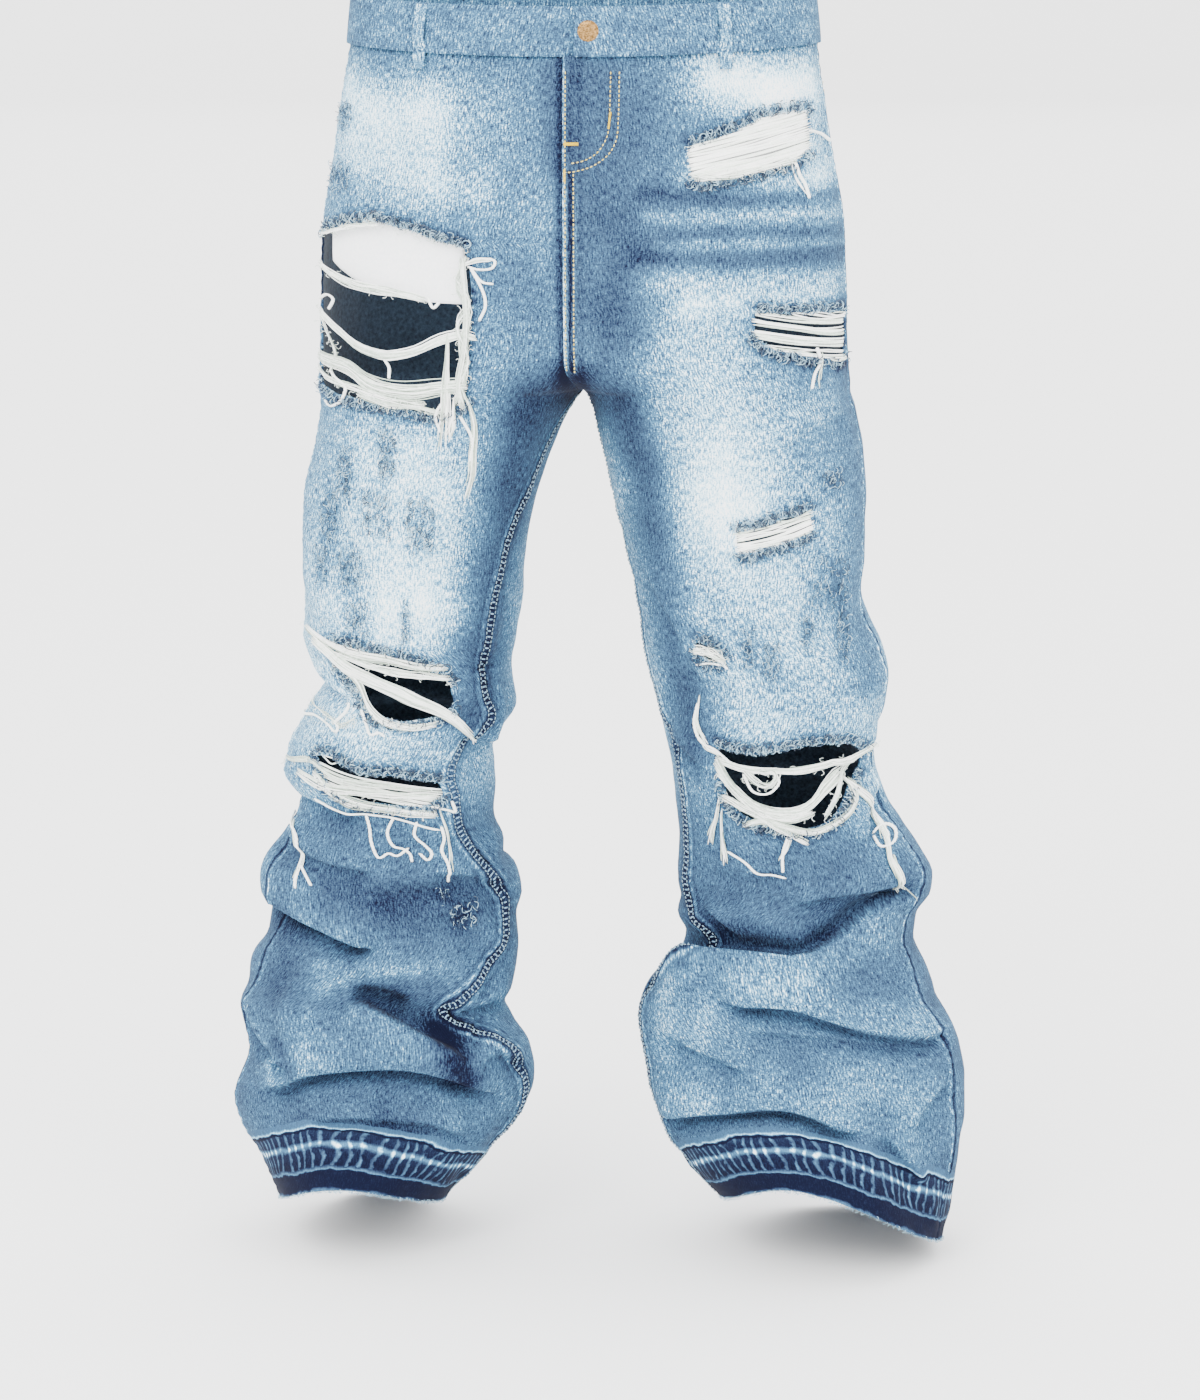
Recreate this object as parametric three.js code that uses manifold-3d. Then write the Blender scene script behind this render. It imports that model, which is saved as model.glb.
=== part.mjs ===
// Ripped baggy jeans in their worn form, held open at the waist.
// Millimetres. +Z up, the front faces -Y, +X is the wearer's left.
// The origin is the centre of the waist opening, half way up the waistband.
import * as THREE from 'three';
import { mergeVertices } from 'three/addons/utils/BufferGeometryUtils.js';
import Module from 'manifold-3d';

const wasm = await Module();
wasm.setup();

// Driving dimensions
const DENIM = 1.6;             // wall of one layer of denim
const SEAM_GAP = 0.4;          // clear space between two pieces that are sewn together
const CENTRE_GAP = 0.4;        // from the centre plane to each leg
const ROUNDNESS = 0.94;        // exponent of the leg section, 1 is a true ellipse
const WAIST_TOP = 18;          // waistband's edges, at the side seam
const WAIST_SEAM = -18;
const BAND_WALL = 2.8;         // waistband, folded double
const BAND_PROUD = 1.0;        // waistband's outer face stands out from the panels
const YOKE_AT_CENTRE = -78;    // yoke seam's height at the centre back and at the side
const YOKE_AT_SIDE = -46;
const YOKE_BLEND = -190;       // below this height the back panel's rows are level again
const FLY_BOTTOM = -124;
const POCKETING = 1.2;         // pocket bag's wall
const BAG_GAP = 1.6;           // from the front to the pocket bag
const LOOP_WIDTH = 12;
const LAYER_GAP = 1.1;         // from a panel to a layer on or behind it, clear of both pieces' facets
const ZIP_WALL = 1.2;
const PANEL_COLUMNS = 9;       // flat facets across a front or back panel
const YOKE_COLUMNS = 7;

// Distances from the centre plane
const UNDER_END = 38;          // waistband's under end, behind the left front
const BAND_LAP = 26;           // where the two ends of the waistband stop lapping
const BUTTON_AT = 14;
const BUTTON_HEAD = [[0, 0], [6, 0], [6.4, 0.8], [8.5, 1.2], [8.5, 2.4], [7.2, 3.3], [4, 3.6], [0, 3.6]];
const ZIP_TAPE = [4, 23];
const ZIP_SLIDER = [9, 18];
const FLY_SHIELD = [2, 42];
const POCKET_REACH = [52, 166];

// Heights
const SLIDER_TOP = WAIST_SEAM - 6;
const SLIDER_BOTTOM = WAIST_SEAM - 20;
const BAG_BOTTOM = [-186, -216];       // at the side and towards the centre
const BAG_SIDE_ANGLE = -14;
const BAG_INNER = 82;                  // the bag's inner edge, from the centre plane
const POCKET_TOP = [-96, -84];         // at the centre and at the side
const POCKET_CORNERS = -238;
const POCKET_POINT = 20;               // how far its bottom point hangs below the corners

// Belt loop's outline down its middle: height and how far its back stands off the panels
const LOOP_STEPS = [[WAIST_TOP - 1, 1.4], [WAIST_TOP - 7, 3.6], [0, 4], [WAIST_SEAM + 8, 3.6],
  [WAIST_SEAM - 1, 1.6], [WAIST_SEAM - 14, 0.4]];
const LOOP_WALL = 2;
const BELT_LOOPS = [
  { leg: 'right', angle: -52 }, { leg: 'left', angle: -52 },
  { leg: 'right', angle: 28 }, { leg: 'left', angle: 28 },
  { leg: 'left', angle: 87 },
];

// Sections from the waist down. Each row holds, in mm and degrees: height, outer reach and inner
// reach from the centre plane, front and back depth, the side line's depth, lifts of the front,
// back and outer side, and how far the inseam and the outseam are turned towards the front.
const TRUNK = [
  [30, 176, -176, -111, 118, 0, -10, 10, 0, 0, 2],
  [-18, 181, -181, -113, 121, 0, -10, 10, 0, 0, 2],
  [-60, 188, -188, -116, 128, 0, -6, 6, 0, 0, 3],
  [-113, 196, -194, -118, 138, 0, -2, 2, 0, 0, 4],
  [-150, 203, -194, -118, 144, 0, 0, 0, 0, 0, 4],
  [-190, 206, -182, -116, 146, 2, 0, 0, 0, 0, 5],
  [-230, 207, -134, -113, 142, 4, 0, 0, 0, 0, 5],
  [-255, 208, -92, -110, 135, 6, 0, 0, 0, 0, 6],
  [-272, 209, -48, -108, 129, 8, 0, 0, 0, 0, 6],
  [-283, 210, -15, -107, 125, 9, 0, 0, 0, 0, 6],
  [-288, 210, 0.4, -106, 123, 9, 0, 0, 0, 0, 7],
];
const RIGHT_LEG = [
  [-301, 209, 10, -105, 119, 9, 0, 0, 0, 4, 7],
  [-325, 212, 22, -103, 111, 8, 0, 0, 0, 10, 7],
  [-372, 221, 37, -99, 101, 6, 0, 0, 0, 20, 6],
  [-420, 224, 47, -97, 93, 4, 0, 0, 0, 29, 4],
  [-468, 223, 53, -95, 85, 2, 0, 0, 0, 33, 2],
  [-484, 223, 54, -95, 82, 1, 0, 0, 0, 34, 2],
  [-503, 211, 57, -92, 79, 0, 0, 0, 0, 36, 2],
  [-520, 206, 57, -90, 76, -1, 0, 0, 0, 37, 3],
  [-541, 216, 54, -88, 72, -2, 0, 0, 0, 34, 4],
  [-560, 227, 66, -87, 70, -2, 0, 0, 0, 40, 6],
  [-580, 236, 75, -86, 68, -2, 0, 0, 0, 44, 8],
  [-592, 237, 74, -84, 68, -2, 0, 0, 0, 46, 10],
  [-608, 225, 72, -80, 68, -1, 0, 0, 0, 46, 12],
  [-627, 228, 72, -75, 69, 0, 0, 0, 0, 44, 15],
  [-652, 241, 68, -68, 70, 2, 0, 0, 0, 36, 18],
  [-676, 254, 60, -63, 70, 4, 0, 0, 0, 26, 22],
  [-701, 258, 54, -60, 70, 6, 0, 0, 0, 18, 26],
  [-726, 260, 54, -60, 70, 6, 2, -2, 0, 18, 30],
  [-751, 270, 56, -62, 70, 6, 4, -4, 0, 30, 30],
  [-776, 278, 62, -66, 70, 5, 6, -6, 0, 44, 22],
  [-789, 280, 68, -68, 71, 4, 8, -8, 0, 50, 16],
  [-802, 277, 62, -70, 72, 3, 10, -10, 0, 40, 14],
  [-826, 275, 47, -72, 74, 2, 14, -14, 0, 20, 14],
  [-851, 282, 44, -70, 78, 2, 18, -18, 0, 12, 14],
  [-870, 289, 49, -71, 84, 3, 20, -20, 0, 8, 14],
  [-889, 281, 60, -76, 93, 5, 23, -24, 0, 6, 14],
  [-914, 266, 82, -88, 108, 8, 26, -28, 0, 5, 12],
  [-953, 249, 114, -106, 124, 11, 28, -33, 0, 5, 10],
];
const LEFT_LEG = [
  [-301, 214, 8, -105, 119, 9, 0, 0, 0, 2, 7],
  [-325, 219, 14, -103, 111, 8, 0, 0, 0, 4, 8],
  [-372, 224, 25, -99, 101, 6, 0, 0, 0, 6, 10],
  [-420, 224, 36, -97, 93, 4, 0, 0, 0, 8, 12],
  [-468, 227, 46, -95, 85, 2, 0, 0, 0, 10, 12],
  [-493, 237, 50, -94, 81, 1, 0, 0, 0, 12, 12],
  [-517, 242, 56, -92, 77, 0, 0, 0, 0, 14, 12],
  [-541, 241, 63, -90, 73, -1, 0, 0, 0, 16, 12],
  [-566, 233, 67, -88, 70, -2, 0, 0, 0, 20, 12],
  [-584, 231, 70, -86, 68, -2, 0, 0, 0, 22, 12],
  [-602, 237, 73, -82, 68, -1, 0, 0, 0, 23, 12],
  [-627, 252, 75, -74, 68, 1, 0, 0, 0, 22, 14],
  [-652, 268, 77, -67, 68, 3, 0, 0, 0, 20, 16],
  [-676, 279, 76, -62, 68, 4, 0, 0, 0, 20, 20],
  [-690, 278, 75, -60, 68, 5, 0, 0, 0, 22, 24],
  [-708, 268, 75, -58, 68, 6, 2, -2, 0, 26, 26],
  [-726, 267, 82, -58, 69, 6, 4, -4, 0, 34, 26],
  [-738, 270, 79, -60, 69, 6, 5, -5, 0, 34, 26],
  [-751, 275, 63, -64, 70, 5, 6, -6, 0, 16, 26],
  [-765, 281, 53, -67, 70, 5, 7, -7, 0, 10, 26],
  [-788, 291, 47, -67, 70, 5, 9, -9, 0, 8, 26],
  [-813, 305, 49, -67, 71, 4, 12, -12, 0, 8, 26],
  [-839, 311, 53, -68, 73, 4, 15, -15, -2, 8, 26],
  [-864, 311, 59, -70, 77, 4, 19, -18, -5, 8, 24],
  [-889, 307, 66, -75, 85, 5, 24, -20, -8, 8, 22],
  [-914, 303, 76, -84, 97, 7, 30, -20, -11, 8, 20],
  [-940, 298, 92, -96, 110, 9, 34, -20, -14, 8, 18],
  [-962, 292, 112, -106, 120, 10, 36, -20, -16, 8, 18],
];
const LEGS = {
  right: { side: -1, rows: [...TRUNK, ...RIGHT_LEG] },
  left: { side: 1, rows: [...TRUNK, ...LEFT_LEG] },
};

// Largest folds: a swell over a hollow along a line of [angle, height] points, with its height and
// half width. Angles run 0 at the outer side, -90 in front, -180 at the inner side, 90 behind.
const FOLDS = {
  right: [
    { swell: 7, width: 15, line: [[10, -670], [-16, -691], [-50, -706], [-83, -731], [-100, -742]] },
    { swell: 8, width: 17, line: [[-10, -868], [-64, -843], [-105, -839], [-145, -857], [-170, -874]] },
    { swell: -5, width: 20, line: [[-70, -750], [-96, -795], [-127, -827]] },
    { swell: 7, width: 18, line: [[30, -800], [90, -782], [150, -800]] },
    { swell: 6, width: 18, line: [[40, -650], [90, -636], [140, -650]] },
  ],
  left: [
    { swell: 7, width: 15, line: [[-172, -752], [-110, -746], [-80, -746], [-52, -710], [-20, -690]] },
    { swell: 7, width: 17, line: [[-150, -884], [-104, -868], [-81, -884], [-60, -896]] },
    { swell: -4, width: 18, line: [[-95, -690], [-72, -678], [-38, -678]] },
    { swell: 7, width: 18, line: [[30, -775], [90, -760], [150, -775]] },
    { swell: 6, width: 18, line: [[40, -640], [90, -628], [140, -640]] },
  ],
};
const FOLD_FADE = 16;          // degrees over which a fold dies away past its ends

// Rips in the fronts, as [x, z] outlines seen from the front. An open one is a hole that threads
// cross; a laddered one keeps its white crosswise threads, which close it like a panel of lace.
const RIPS = {
  thigh: { leg: 'right', outline: [
    [-203, -166], [-153, -154], [-115, -162], [-83, -172], [-75, -211], [-78, -255], [-81, -284],
    [-109, -299], [-144, -293], [-192, -289], [-203, -270]] },
  knee_right: { leg: 'right', outline: [
    [-185, -484], [-150, -491], [-100, -514], [-97, -534], [-120, -541], [-160, -536]] },
  knee_left: { leg: 'left', outline: [
    [115, -565], [150, -566], [212, -560], [213, -596], [204, -612], [176, -622], [137, -614],
    [118, -590]] },
  ladder_pocket: { leg: 'left', laddered: true, outline: [
    [91, -92], [128, -79], [175, -68], [179, -98], [165, -109], [121, -117], [91, -118]] },
  ladder_hip: { leg: 'left', laddered: true, outline: [
    [139, -220], [203, -224], [203, -260], [179, -256], [158, -251], [138, -236]] },
  ladder_thigh: { leg: 'left', laddered: true, outline: [
    [126, -390], [157, -381], [182, -374], [185, -388], [163, -397], [129, -405]] },
  ladder_knee: { leg: 'right', laddered: true, outline: [
    [-203, -574], [-167, -588], [-112, -594], [-113, -608], [-166, -606], [-200, -590]] },
};
const RIP_BACK = -4;           // a rip's cutter runs from here out past the front
const RIP_REACH = 260;
const LADDER_CLEARANCE = 0.5;  // from a ladder's edge to the rip's edge

// Hanks of loose white threads that sag across the open rips: [x, z] routes and thickness
const THREAD_HANKS = {
  threads_thigh_upper: { leg: 'right', radius: 3, route: [
    [-199, -233], [-183, -240], [-165, -251], [-143, -255], [-121, -251], [-101, -243], [-82, -239]] },
  threads_thigh_lower: { leg: 'right', radius: 4, route: [
    [-198, -266], [-174, -267], [-159, -275], [-143, -279], [-123, -280], [-88, -275]] },
  threads_knee_right: { leg: 'right', radius: 4, route: [
    [-177, -493], [-158, -505], [-136, -515], [-118, -524], [-104, -526]] },
  threads_knee_left: { leg: 'left', radius: 4, route: [
    [120, -576], [130, -588], [147, -602], [167, -609], [187, -603], [199, -588], [206, -575]] },
};
const HANK_SIDES = 6;
const HANK_INSET = 1.5;        // hank's centre lies this far behind the denim's outer face

const DENIM_BLUE = { color: 0x7f9fc4, roughness: 0.9, metalness: 0 };
const THREAD_WHITE = { color: 0xe9efe8, roughness: 0.95, metalness: 0 };
const POCKET_WHITE = { color: 0xf1f2f4, roughness: 0.95, metalness: 0 };
const BRASS = { color: 0x8a6a3c, roughness: 0.45, metalness: 0.9 };

const RAD = Math.PI / 180;
const COLUMNS = ['z', 'outer', 'inner', 'front', 'back', 'sideLine', 'liftFront', 'liftBack',
  'liftOuter', 'inseamTurn', 'outseamTurn'];

// Smooth value of one column at a height, without overshoot between rows
function column(rows, index, z) {
  const last = rows.length - 1;
  const height = Math.min(rows[0][0], Math.max(rows[last][0], z));
  let i = 0;
  while (i < last - 1 && rows[i + 1][0] > height) i += 1;
  const slope = (k) => (rows[k + 1][index] - rows[k][index]) / (rows[k + 1][0] - rows[k][0]);
  const tangent = (k) => {
    if (k === 0) return slope(0);
    if (k === last) return slope(last - 1);
    const before = slope(k - 1);
    const after = slope(k);
    return before * after <= 0 ? 0 : 2 * before * after / (before + after);
  };
  const span = rows[i + 1][0] - rows[i][0];
  const t = (height - rows[i][0]) / span;
  return rows[i][index] * (1 + 2 * t) * (1 - t) ** 2 + rows[i + 1][index] * t * t * (3 - 2 * t)
    + span * (tangent(i) * t * (1 - t) ** 2 - tangent(i + 1) * t * t * (1 - t));
}

function section(leg, z) {
  const s = {};
  COLUMNS.forEach((name, k) => { s[name] = column(leg.rows, k, z); });
  s.centre = (s.outer + s.inner) / 2;
  s.half = (s.outer - s.inner) / 2;
  return s;
}

// Angle on the section at a distance from the centre plane, in front or behind
function angleAt(leg, x, z, behind = false) {
  const s = section(leg, z);
  const reach = THREE.MathUtils.clamp((x - s.centre) / s.half, -1, 1);
  const angle = Math.acos(Math.sign(reach) * Math.abs(reach) ** (1 / ROUNDNESS)) / RAD;
  return behind ? angle : -angle;
}

// Angles of a panel's edges: the centre seam or inseam, and the outseam
function edges(leg, z) {
  const s = section(leg, z);
  const joined = s.inner < CENTRE_GAP;
  return {
    front: joined ? angleAt(leg, CENTRE_GAP, z) : -180 + s.inseamTurn,
    back: joined ? angleAt(leg, CENTRE_GAP, z, true) : 180 + s.inseamTurn,
    outer: -s.outseamTurn,
  };
}

function foldHeight(line, angle) {
  let i = 0;
  const forward = Math.sign(line[1][0] - line[0][0]);
  while (i < line.length - 2 && forward * (angle - line[i + 1][0]) > 0) i += 1;
  const t = THREE.MathUtils.clamp((angle - line[i][0]) / (line[i + 1][0] - line[i][0]), 0, 1);
  return THREE.MathUtils.lerp(line[i][1], line[i + 1][1], t);
}

// How far the folds push the cloth out at a place: a swell above each fold line, a hollow below
function foldPush(folds, angle, z) {
  let push = 0;
  for (const { swell, width, line } of folds) {
    const low = Math.min(line[0][0], line[line.length - 1][0]);
    const high = Math.max(line[0][0], line[line.length - 1][0]);
    const past = Math.max(low - angle, angle - high, 0);
    const above = z - foldHeight(line, angle);
    const bump = (offset, spread) => Math.exp(-(((above - offset) / spread) ** 2));
    push += swell * (bump(0.6 * width, width) - 0.7 * bump(-0.8 * width, 0.8 * width))
      * Math.exp(-((past / FOLD_FADE) ** 2));
  }
  return push;
}

// A point of the denim's outer face
function facePoint(legName, angle, z) {
  const leg = LEGS[legName];
  const s = section(leg, z);
  const c = Math.cos(angle * RAD);
  const d = Math.sin(angle * RAD);
  const reach = Math.sign(c) * Math.abs(c) ** ROUNDNESS;
  const depth = Math.sign(d) * Math.abs(d) ** ROUNDNESS
    * (d < 0 ? s.sideLine - s.front : s.back - s.sideLine);
  const push = foldPush(FOLDS[legName], angle > 180 ? angle - 360 : angle, z);
  const lift = (d < 0 ? s.liftFront : s.liftBack) * Math.abs(d) ** 1.5 + s.liftOuter * c;
  return new THREE.Vector3(
    leg.side * (s.centre + s.half * reach + push * c), s.sideLine + depth + push * d, z + lift);
}

function faceNormal(legName, angle, z) {
  const step = 0.5;
  const across = facePoint(legName, angle + step, z).sub(facePoint(legName, angle - step, z));
  const up = facePoint(legName, angle, z + step).sub(facePoint(legName, angle, z - step));
  return across.cross(up).normalize().multiplyScalar(LEGS[legName].side);
}

// Places on the cloth are { leg, angle, z }; out moves a place along the normal
function placed({ leg, angle, z }, out) {
  return facePoint(leg, angle, z).addScaledVector(faceNormal(leg, angle, z), out);
}

// Degrees that half a seam's gap takes at a place
function gapAngle(leg, angle, z) {
  return SEAM_GAP / 2 / facePoint(leg, angle + 0.5, z).distanceTo(facePoint(leg, angle - 0.5, z));
}

// A closed wall over a grid of places. outs(row, column) gives the wall's outer and inner offsets.
function wall(grid, outs) {
  const rows = grid.length;
  const columns = grid[0].length;
  const points = [];
  for (const face of [0, 1]) {
    grid.forEach((row, r) => row.forEach((place, c) => {
      points.push(placed(place, outs(r, c)[face]));
    }));
  }
  const at = (face, r, c) => (face * rows + r) * columns + c;
  const triangles = [];
  const quad = (a, b, c, d) => triangles.push(a, b, c, a, c, d);
  for (let r = 0; r < rows - 1; r += 1) {
    for (let c = 0; c < columns - 1; c += 1) {
      quad(at(0, r, c), at(0, r + 1, c), at(0, r + 1, c + 1), at(0, r, c + 1));
      quad(at(1, r, c), at(1, r, c + 1), at(1, r + 1, c + 1), at(1, r + 1, c));
    }
    quad(at(0, r, 0), at(1, r, 0), at(1, r + 1, 0), at(0, r + 1, 0));
    const e = columns - 1;
    quad(at(0, r, e), at(0, r + 1, e), at(1, r + 1, e), at(1, r, e));
  }
  for (let c = 0; c < columns - 1; c += 1) {
    quad(at(0, 0, c), at(0, 0, c + 1), at(1, 0, c + 1), at(1, 0, c));
    const e = rows - 1;
    quad(at(0, e, c), at(1, e, c), at(1, e, c + 1), at(0, e, c + 1));
  }
  return facingOut(geometryOf(points.flatMap((p) => p.toArray()), triangles));
}

function geometryOf(positions, index) {
  const geometry = new THREE.BufferGeometry();
  geometry.setAttribute('position', new THREE.BufferAttribute(new Float32Array(positions), 3));
  geometry.setIndex(Array.from(index));
  return geometry;
}

// Turns a closed surface so that its faces point out
function facingOut(geometry) {
  const position = geometry.getAttribute('position');
  const index = Array.from(geometry.getIndex().array);
  let volume = 0;
  for (let i = 0; i < index.length; i += 3) {
    const [a, b, c] = [0, 1, 2].map((k) => new THREE.Vector3().fromBufferAttribute(position, index[i + k]));
    volume += a.dot(b.cross(c));
  }
  if (volume < 0) {
    for (let i = 0; i < index.length; i += 3) [index[i + 1], index[i + 2]] = [index[i + 2], index[i + 1]];
    geometry.setIndex(index);
  }
  return geometry;
}

function merged(geometry) {
  geometry.deleteAttribute('normal');
  geometry.deleteAttribute('uv');
  return mergeVertices(geometry, 1e-4);
}

function solidOf(geometry) {
  return new wasm.Manifold(new wasm.Mesh({
    numProp: 3,
    vertProperties: new Float32Array(geometry.getAttribute('position').array),
    triVerts: new Uint32Array(geometry.getIndex().array),
  }));
}

function geometryFrom(solid) {
  const mesh = solid.getMesh();
  return geometryOf(mesh.vertProperties, mesh.triVerts);
}

// An outline with every side moved in by a distance
function narrowed(outline, distance) {
  const corners = outline.map(([x, z]) => new THREE.Vector2(x, z));
  const turn = THREE.ShapeUtils.isClockWise(corners) ? -1 : 1;
  const inward = corners.map((corner, i) => {
    const along = corners[(i + 1) % corners.length].clone().sub(corner).normalize();
    return new THREE.Vector2(-along.y * turn, along.x * turn);
  });
  return corners.map((corner, i) => {
    const before = inward[(i + corners.length - 1) % corners.length];
    const after = inward[i];
    return corner.addScaledVector(before.clone().add(after), distance / (1 + before.dot(after)));
  });
}

// Straight cutter through the front of a rip's outline, narrowed by a clearance
function ripCutter(outline, clearance = 0) {
  const shape = new THREE.Shape(narrowed(outline, clearance));
  const prism = new THREE.ExtrudeGeometry(shape, { depth: RIP_REACH, bevelEnabled: false });
  prism.rotateX(Math.PI / 2);
  prism.translate(0, RIP_BACK, 0);
  return solidOf(facingOut(merged(prism)));
}

const span = (from, to, count, at) => Array.from({ length: count + 1 }, (_, i) => at(
  THREE.MathUtils.lerp(from, to, i / count), i));
const rowHeights = (legName, from, to = -Infinity) => [from, ...LEGS[legName].rows.map((row) => row[0])
  .filter((z) => z < from - 4 && z >= to)];

// Front panel, from the waist seam to the hem
function frontGrid(leg) {
  return rowHeights(leg, WAIST_SEAM - SEAM_GAP).map((z) => {
    const e = edges(LEGS[leg], z);
    return span(e.front + gapAngle(leg, e.front, z), e.outer - gapAngle(leg, e.outer, z),
      PANEL_COLUMNS, (angle) => ({ leg, angle, z }));
  });
}

// Height of the yoke seam across the back: lowest at the centre
const yokeSeam = (t) => THREE.MathUtils.lerp(YOKE_AT_SIDE, YOKE_AT_CENTRE, t);

function backRow(leg, heightAt, columns) {
  return span(0, 1, columns, (t) => {
    const z = heightAt(t);
    const e = edges(LEGS[leg], z);
    const angle = THREE.MathUtils.lerp(
      e.outer + gapAngle(leg, e.outer, z), e.back - gapAngle(leg, e.back, z), t);
    return { leg, angle, z };
  });
}

// Back panel, from the yoke seam to the hem
function backGrid(leg) {
  const upper = span(0, 1, 4, (k) => backRow(leg,
    (t) => THREE.MathUtils.lerp(yokeSeam(t) - SEAM_GAP, YOKE_BLEND, k), PANEL_COLUMNS));
  const lower = rowHeights(leg, YOKE_BLEND).slice(1).map((z) => backRow(leg, () => z, PANEL_COLUMNS));
  return [...upper, ...lower];
}

function yokeGrid(leg) {
  return span(0, 1, 2, (k) => backRow(leg,
    (t) => THREE.MathUtils.lerp(WAIST_SEAM - SEAM_GAP, yokeSeam(t), k), YOKE_COLUMNS));
}

// Waistband: once round from the under end, behind the left front, to the over end at the centre
function waistband() {
  const round = [];
  const frontAngle = (x) => angleAt(LEGS.left, x, 0);
  for (const x of [UNDER_END, BAND_LAP, 14, 4]) round.push({ leg: 'left', angle: frontAngle(x), deep: 1 });
  for (const x of [4, 14, BAND_LAP]) {
    round.push({ leg: 'right', angle: frontAngle(x), deep: (BAND_LAP - x) / BAND_LAP });
  }
  for (const angle of span(-75, 85, 13, (a) => a)) round.push({ leg: 'right', angle, deep: 0 });
  for (const angle of span(85, -75, 13, (a) => a)) round.push({ leg: 'left', angle, deep: 0 });
  for (const x of [BAND_LAP, 14, CENTRE_GAP]) round.push({ leg: 'left', angle: frontAngle(x), deep: 0 });
  const grid = [WAIST_TOP, 0, WAIST_SEAM].map((z) => round.map(({ leg, angle }) => ({ leg, angle, z })));
  return wall(grid, (r, c) => {
    const out = BAND_PROUD - (BAND_WALL + SEAM_GAP) * round[c].deep;
    return [out, out - BAND_WALL];
  });
}

// Belt loop: a strip that stands off the band and is sewn down above and below it
function beltLoop({ leg, angle }) {
  const across = facePoint(leg, angle + 0.5, 0).distanceTo(facePoint(leg, angle - 0.5, 0));
  const half = LOOP_WIDTH / 2 / across;
  const grid = LOOP_STEPS.map(([z]) => [-half, half].map((turn) => ({ leg, angle: angle + turn, z })));
  return wall(grid, (r) => [LOOP_STEPS[r][1] + LOOP_WALL, LOOP_STEPS[r][1]]);
}

// A strip of the left front's form between two distances from the centre plane
function strip([from, to], heights, columns, out, thickness) {
  const grid = heights.map((z) => span(angleAt(LEGS.left, from, z), angleAt(LEGS.left, to, z),
    columns, (angle) => ({ leg: 'left', angle, z })));
  return wall(grid, () => [out, out - thickness]);
}

// Pocket bag: hangs from the waist seam behind the front, lower towards the centre
function pocketBag(leg) {
  const bottom = (t) => THREE.MathUtils.lerp(...BAG_BOTTOM, Math.sin(t * 90 * RAD));
  const grid = span(0, 1, 5, (k) => span(0, 1, 7, (t) => {
    const z = THREE.MathUtils.lerp(WAIST_SEAM - 2, bottom(t), k);
    return { leg, angle: THREE.MathUtils.lerp(BAG_SIDE_ANGLE, angleAt(LEGS[leg], BAG_INNER, z), t), z };
  }));
  return wall(grid, () => [-DENIM - BAG_GAP, -DENIM - BAG_GAP - POCKETING]);
}

// Patch pocket on the back, with a blunt point at its bottom
function backPocket(leg) {
  const bottom = (t) => POCKET_CORNERS - POCKET_POINT * (1 - Math.abs(2 * t - 1));
  const grid = span(0, 1, 5, (k) => span(0, 1, 8, (t) => {
    const z = THREE.MathUtils.lerp(THREE.MathUtils.lerp(...POCKET_TOP, t), bottom(t), k);
    const [from, to] = POCKET_REACH.map((x) => angleAt(LEGS[leg], x, z, true));
    return { leg, angle: THREE.MathUtils.lerp(from, to, t), z };
  }));
  return wall(grid, () => [LAYER_GAP + DENIM, LAYER_GAP]);
}

// Round button with a domed head, standing on the waistband's over end
function button() {
  const profile = BUTTON_HEAD.map(([radius, height]) => new THREE.Vector2(radius, height));
  const geometry = merged(new THREE.LatheGeometry(profile, 20));
  geometry.rotateX(Math.PI);
  return facingOut(geometry);
}

// A sagging hank of threads, as a tube along its route across a rip
function threadHank({ leg, radius, route }) {
  const points = route.map(([x, z]) => {
    const distance = x * LEGS[leg].side;
    return placed({ leg, angle: angleAt(LEGS[leg], distance, z), z }, -HANK_INSET);
  });
  const circle = new THREE.Shape(Array.from({ length: HANK_SIDES }, (_, i) => new THREE.Vector2(
    radius * Math.cos(i / HANK_SIDES * 360 * RAD), radius * Math.sin(i / HANK_SIDES * 360 * RAD))));
  const tube = new THREE.ExtrudeGeometry(circle, {
    extrudePath: new THREE.CatmullRomCurve3(points), steps: 2 * points.length, bevelEnabled: false });
  return facingOut(merged(tube));
}

const jeans = new THREE.Group();
function add(name, geometry, finish) {
  const mesh = new THREE.Mesh(geometry, new THREE.MeshStandardMaterial(finish));
  mesh.name = name;
  jeans.add(mesh);
  return mesh;
}

for (const leg of ['right', 'left']) {
  const uncut = solidOf(wall(frontGrid(leg), () => [0, -DENIM]));
  let front = uncut;
  for (const [name, rip] of Object.entries(RIPS)) {
    if (rip.leg !== leg) continue;
    front = front.subtract(ripCutter(rip.outline));
    if (rip.laddered) {
      add(name, geometryFrom(uncut.intersect(ripCutter(rip.outline, LADDER_CLEARANCE))), THREAD_WHITE);
    }
  }
  add(`front_${leg}`, geometryFrom(front), DENIM_BLUE);
  add(`back_${leg}`, wall(backGrid(leg), () => [0, -DENIM]), DENIM_BLUE);
  add(`yoke_${leg}`, wall(yokeGrid(leg), () => [0, -DENIM]), DENIM_BLUE);
  add(`back_pocket_${leg}`, backPocket(leg), DENIM_BLUE);
  add(`pocket_bag_${leg}`, pocketBag(leg), POCKET_WHITE);
}

add('waistband', waistband(), DENIM_BLUE);
BELT_LOOPS.forEach((place, i) => add(`belt_loop_${i + 1}`, beltLoop(place), DENIM_BLUE));

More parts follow.
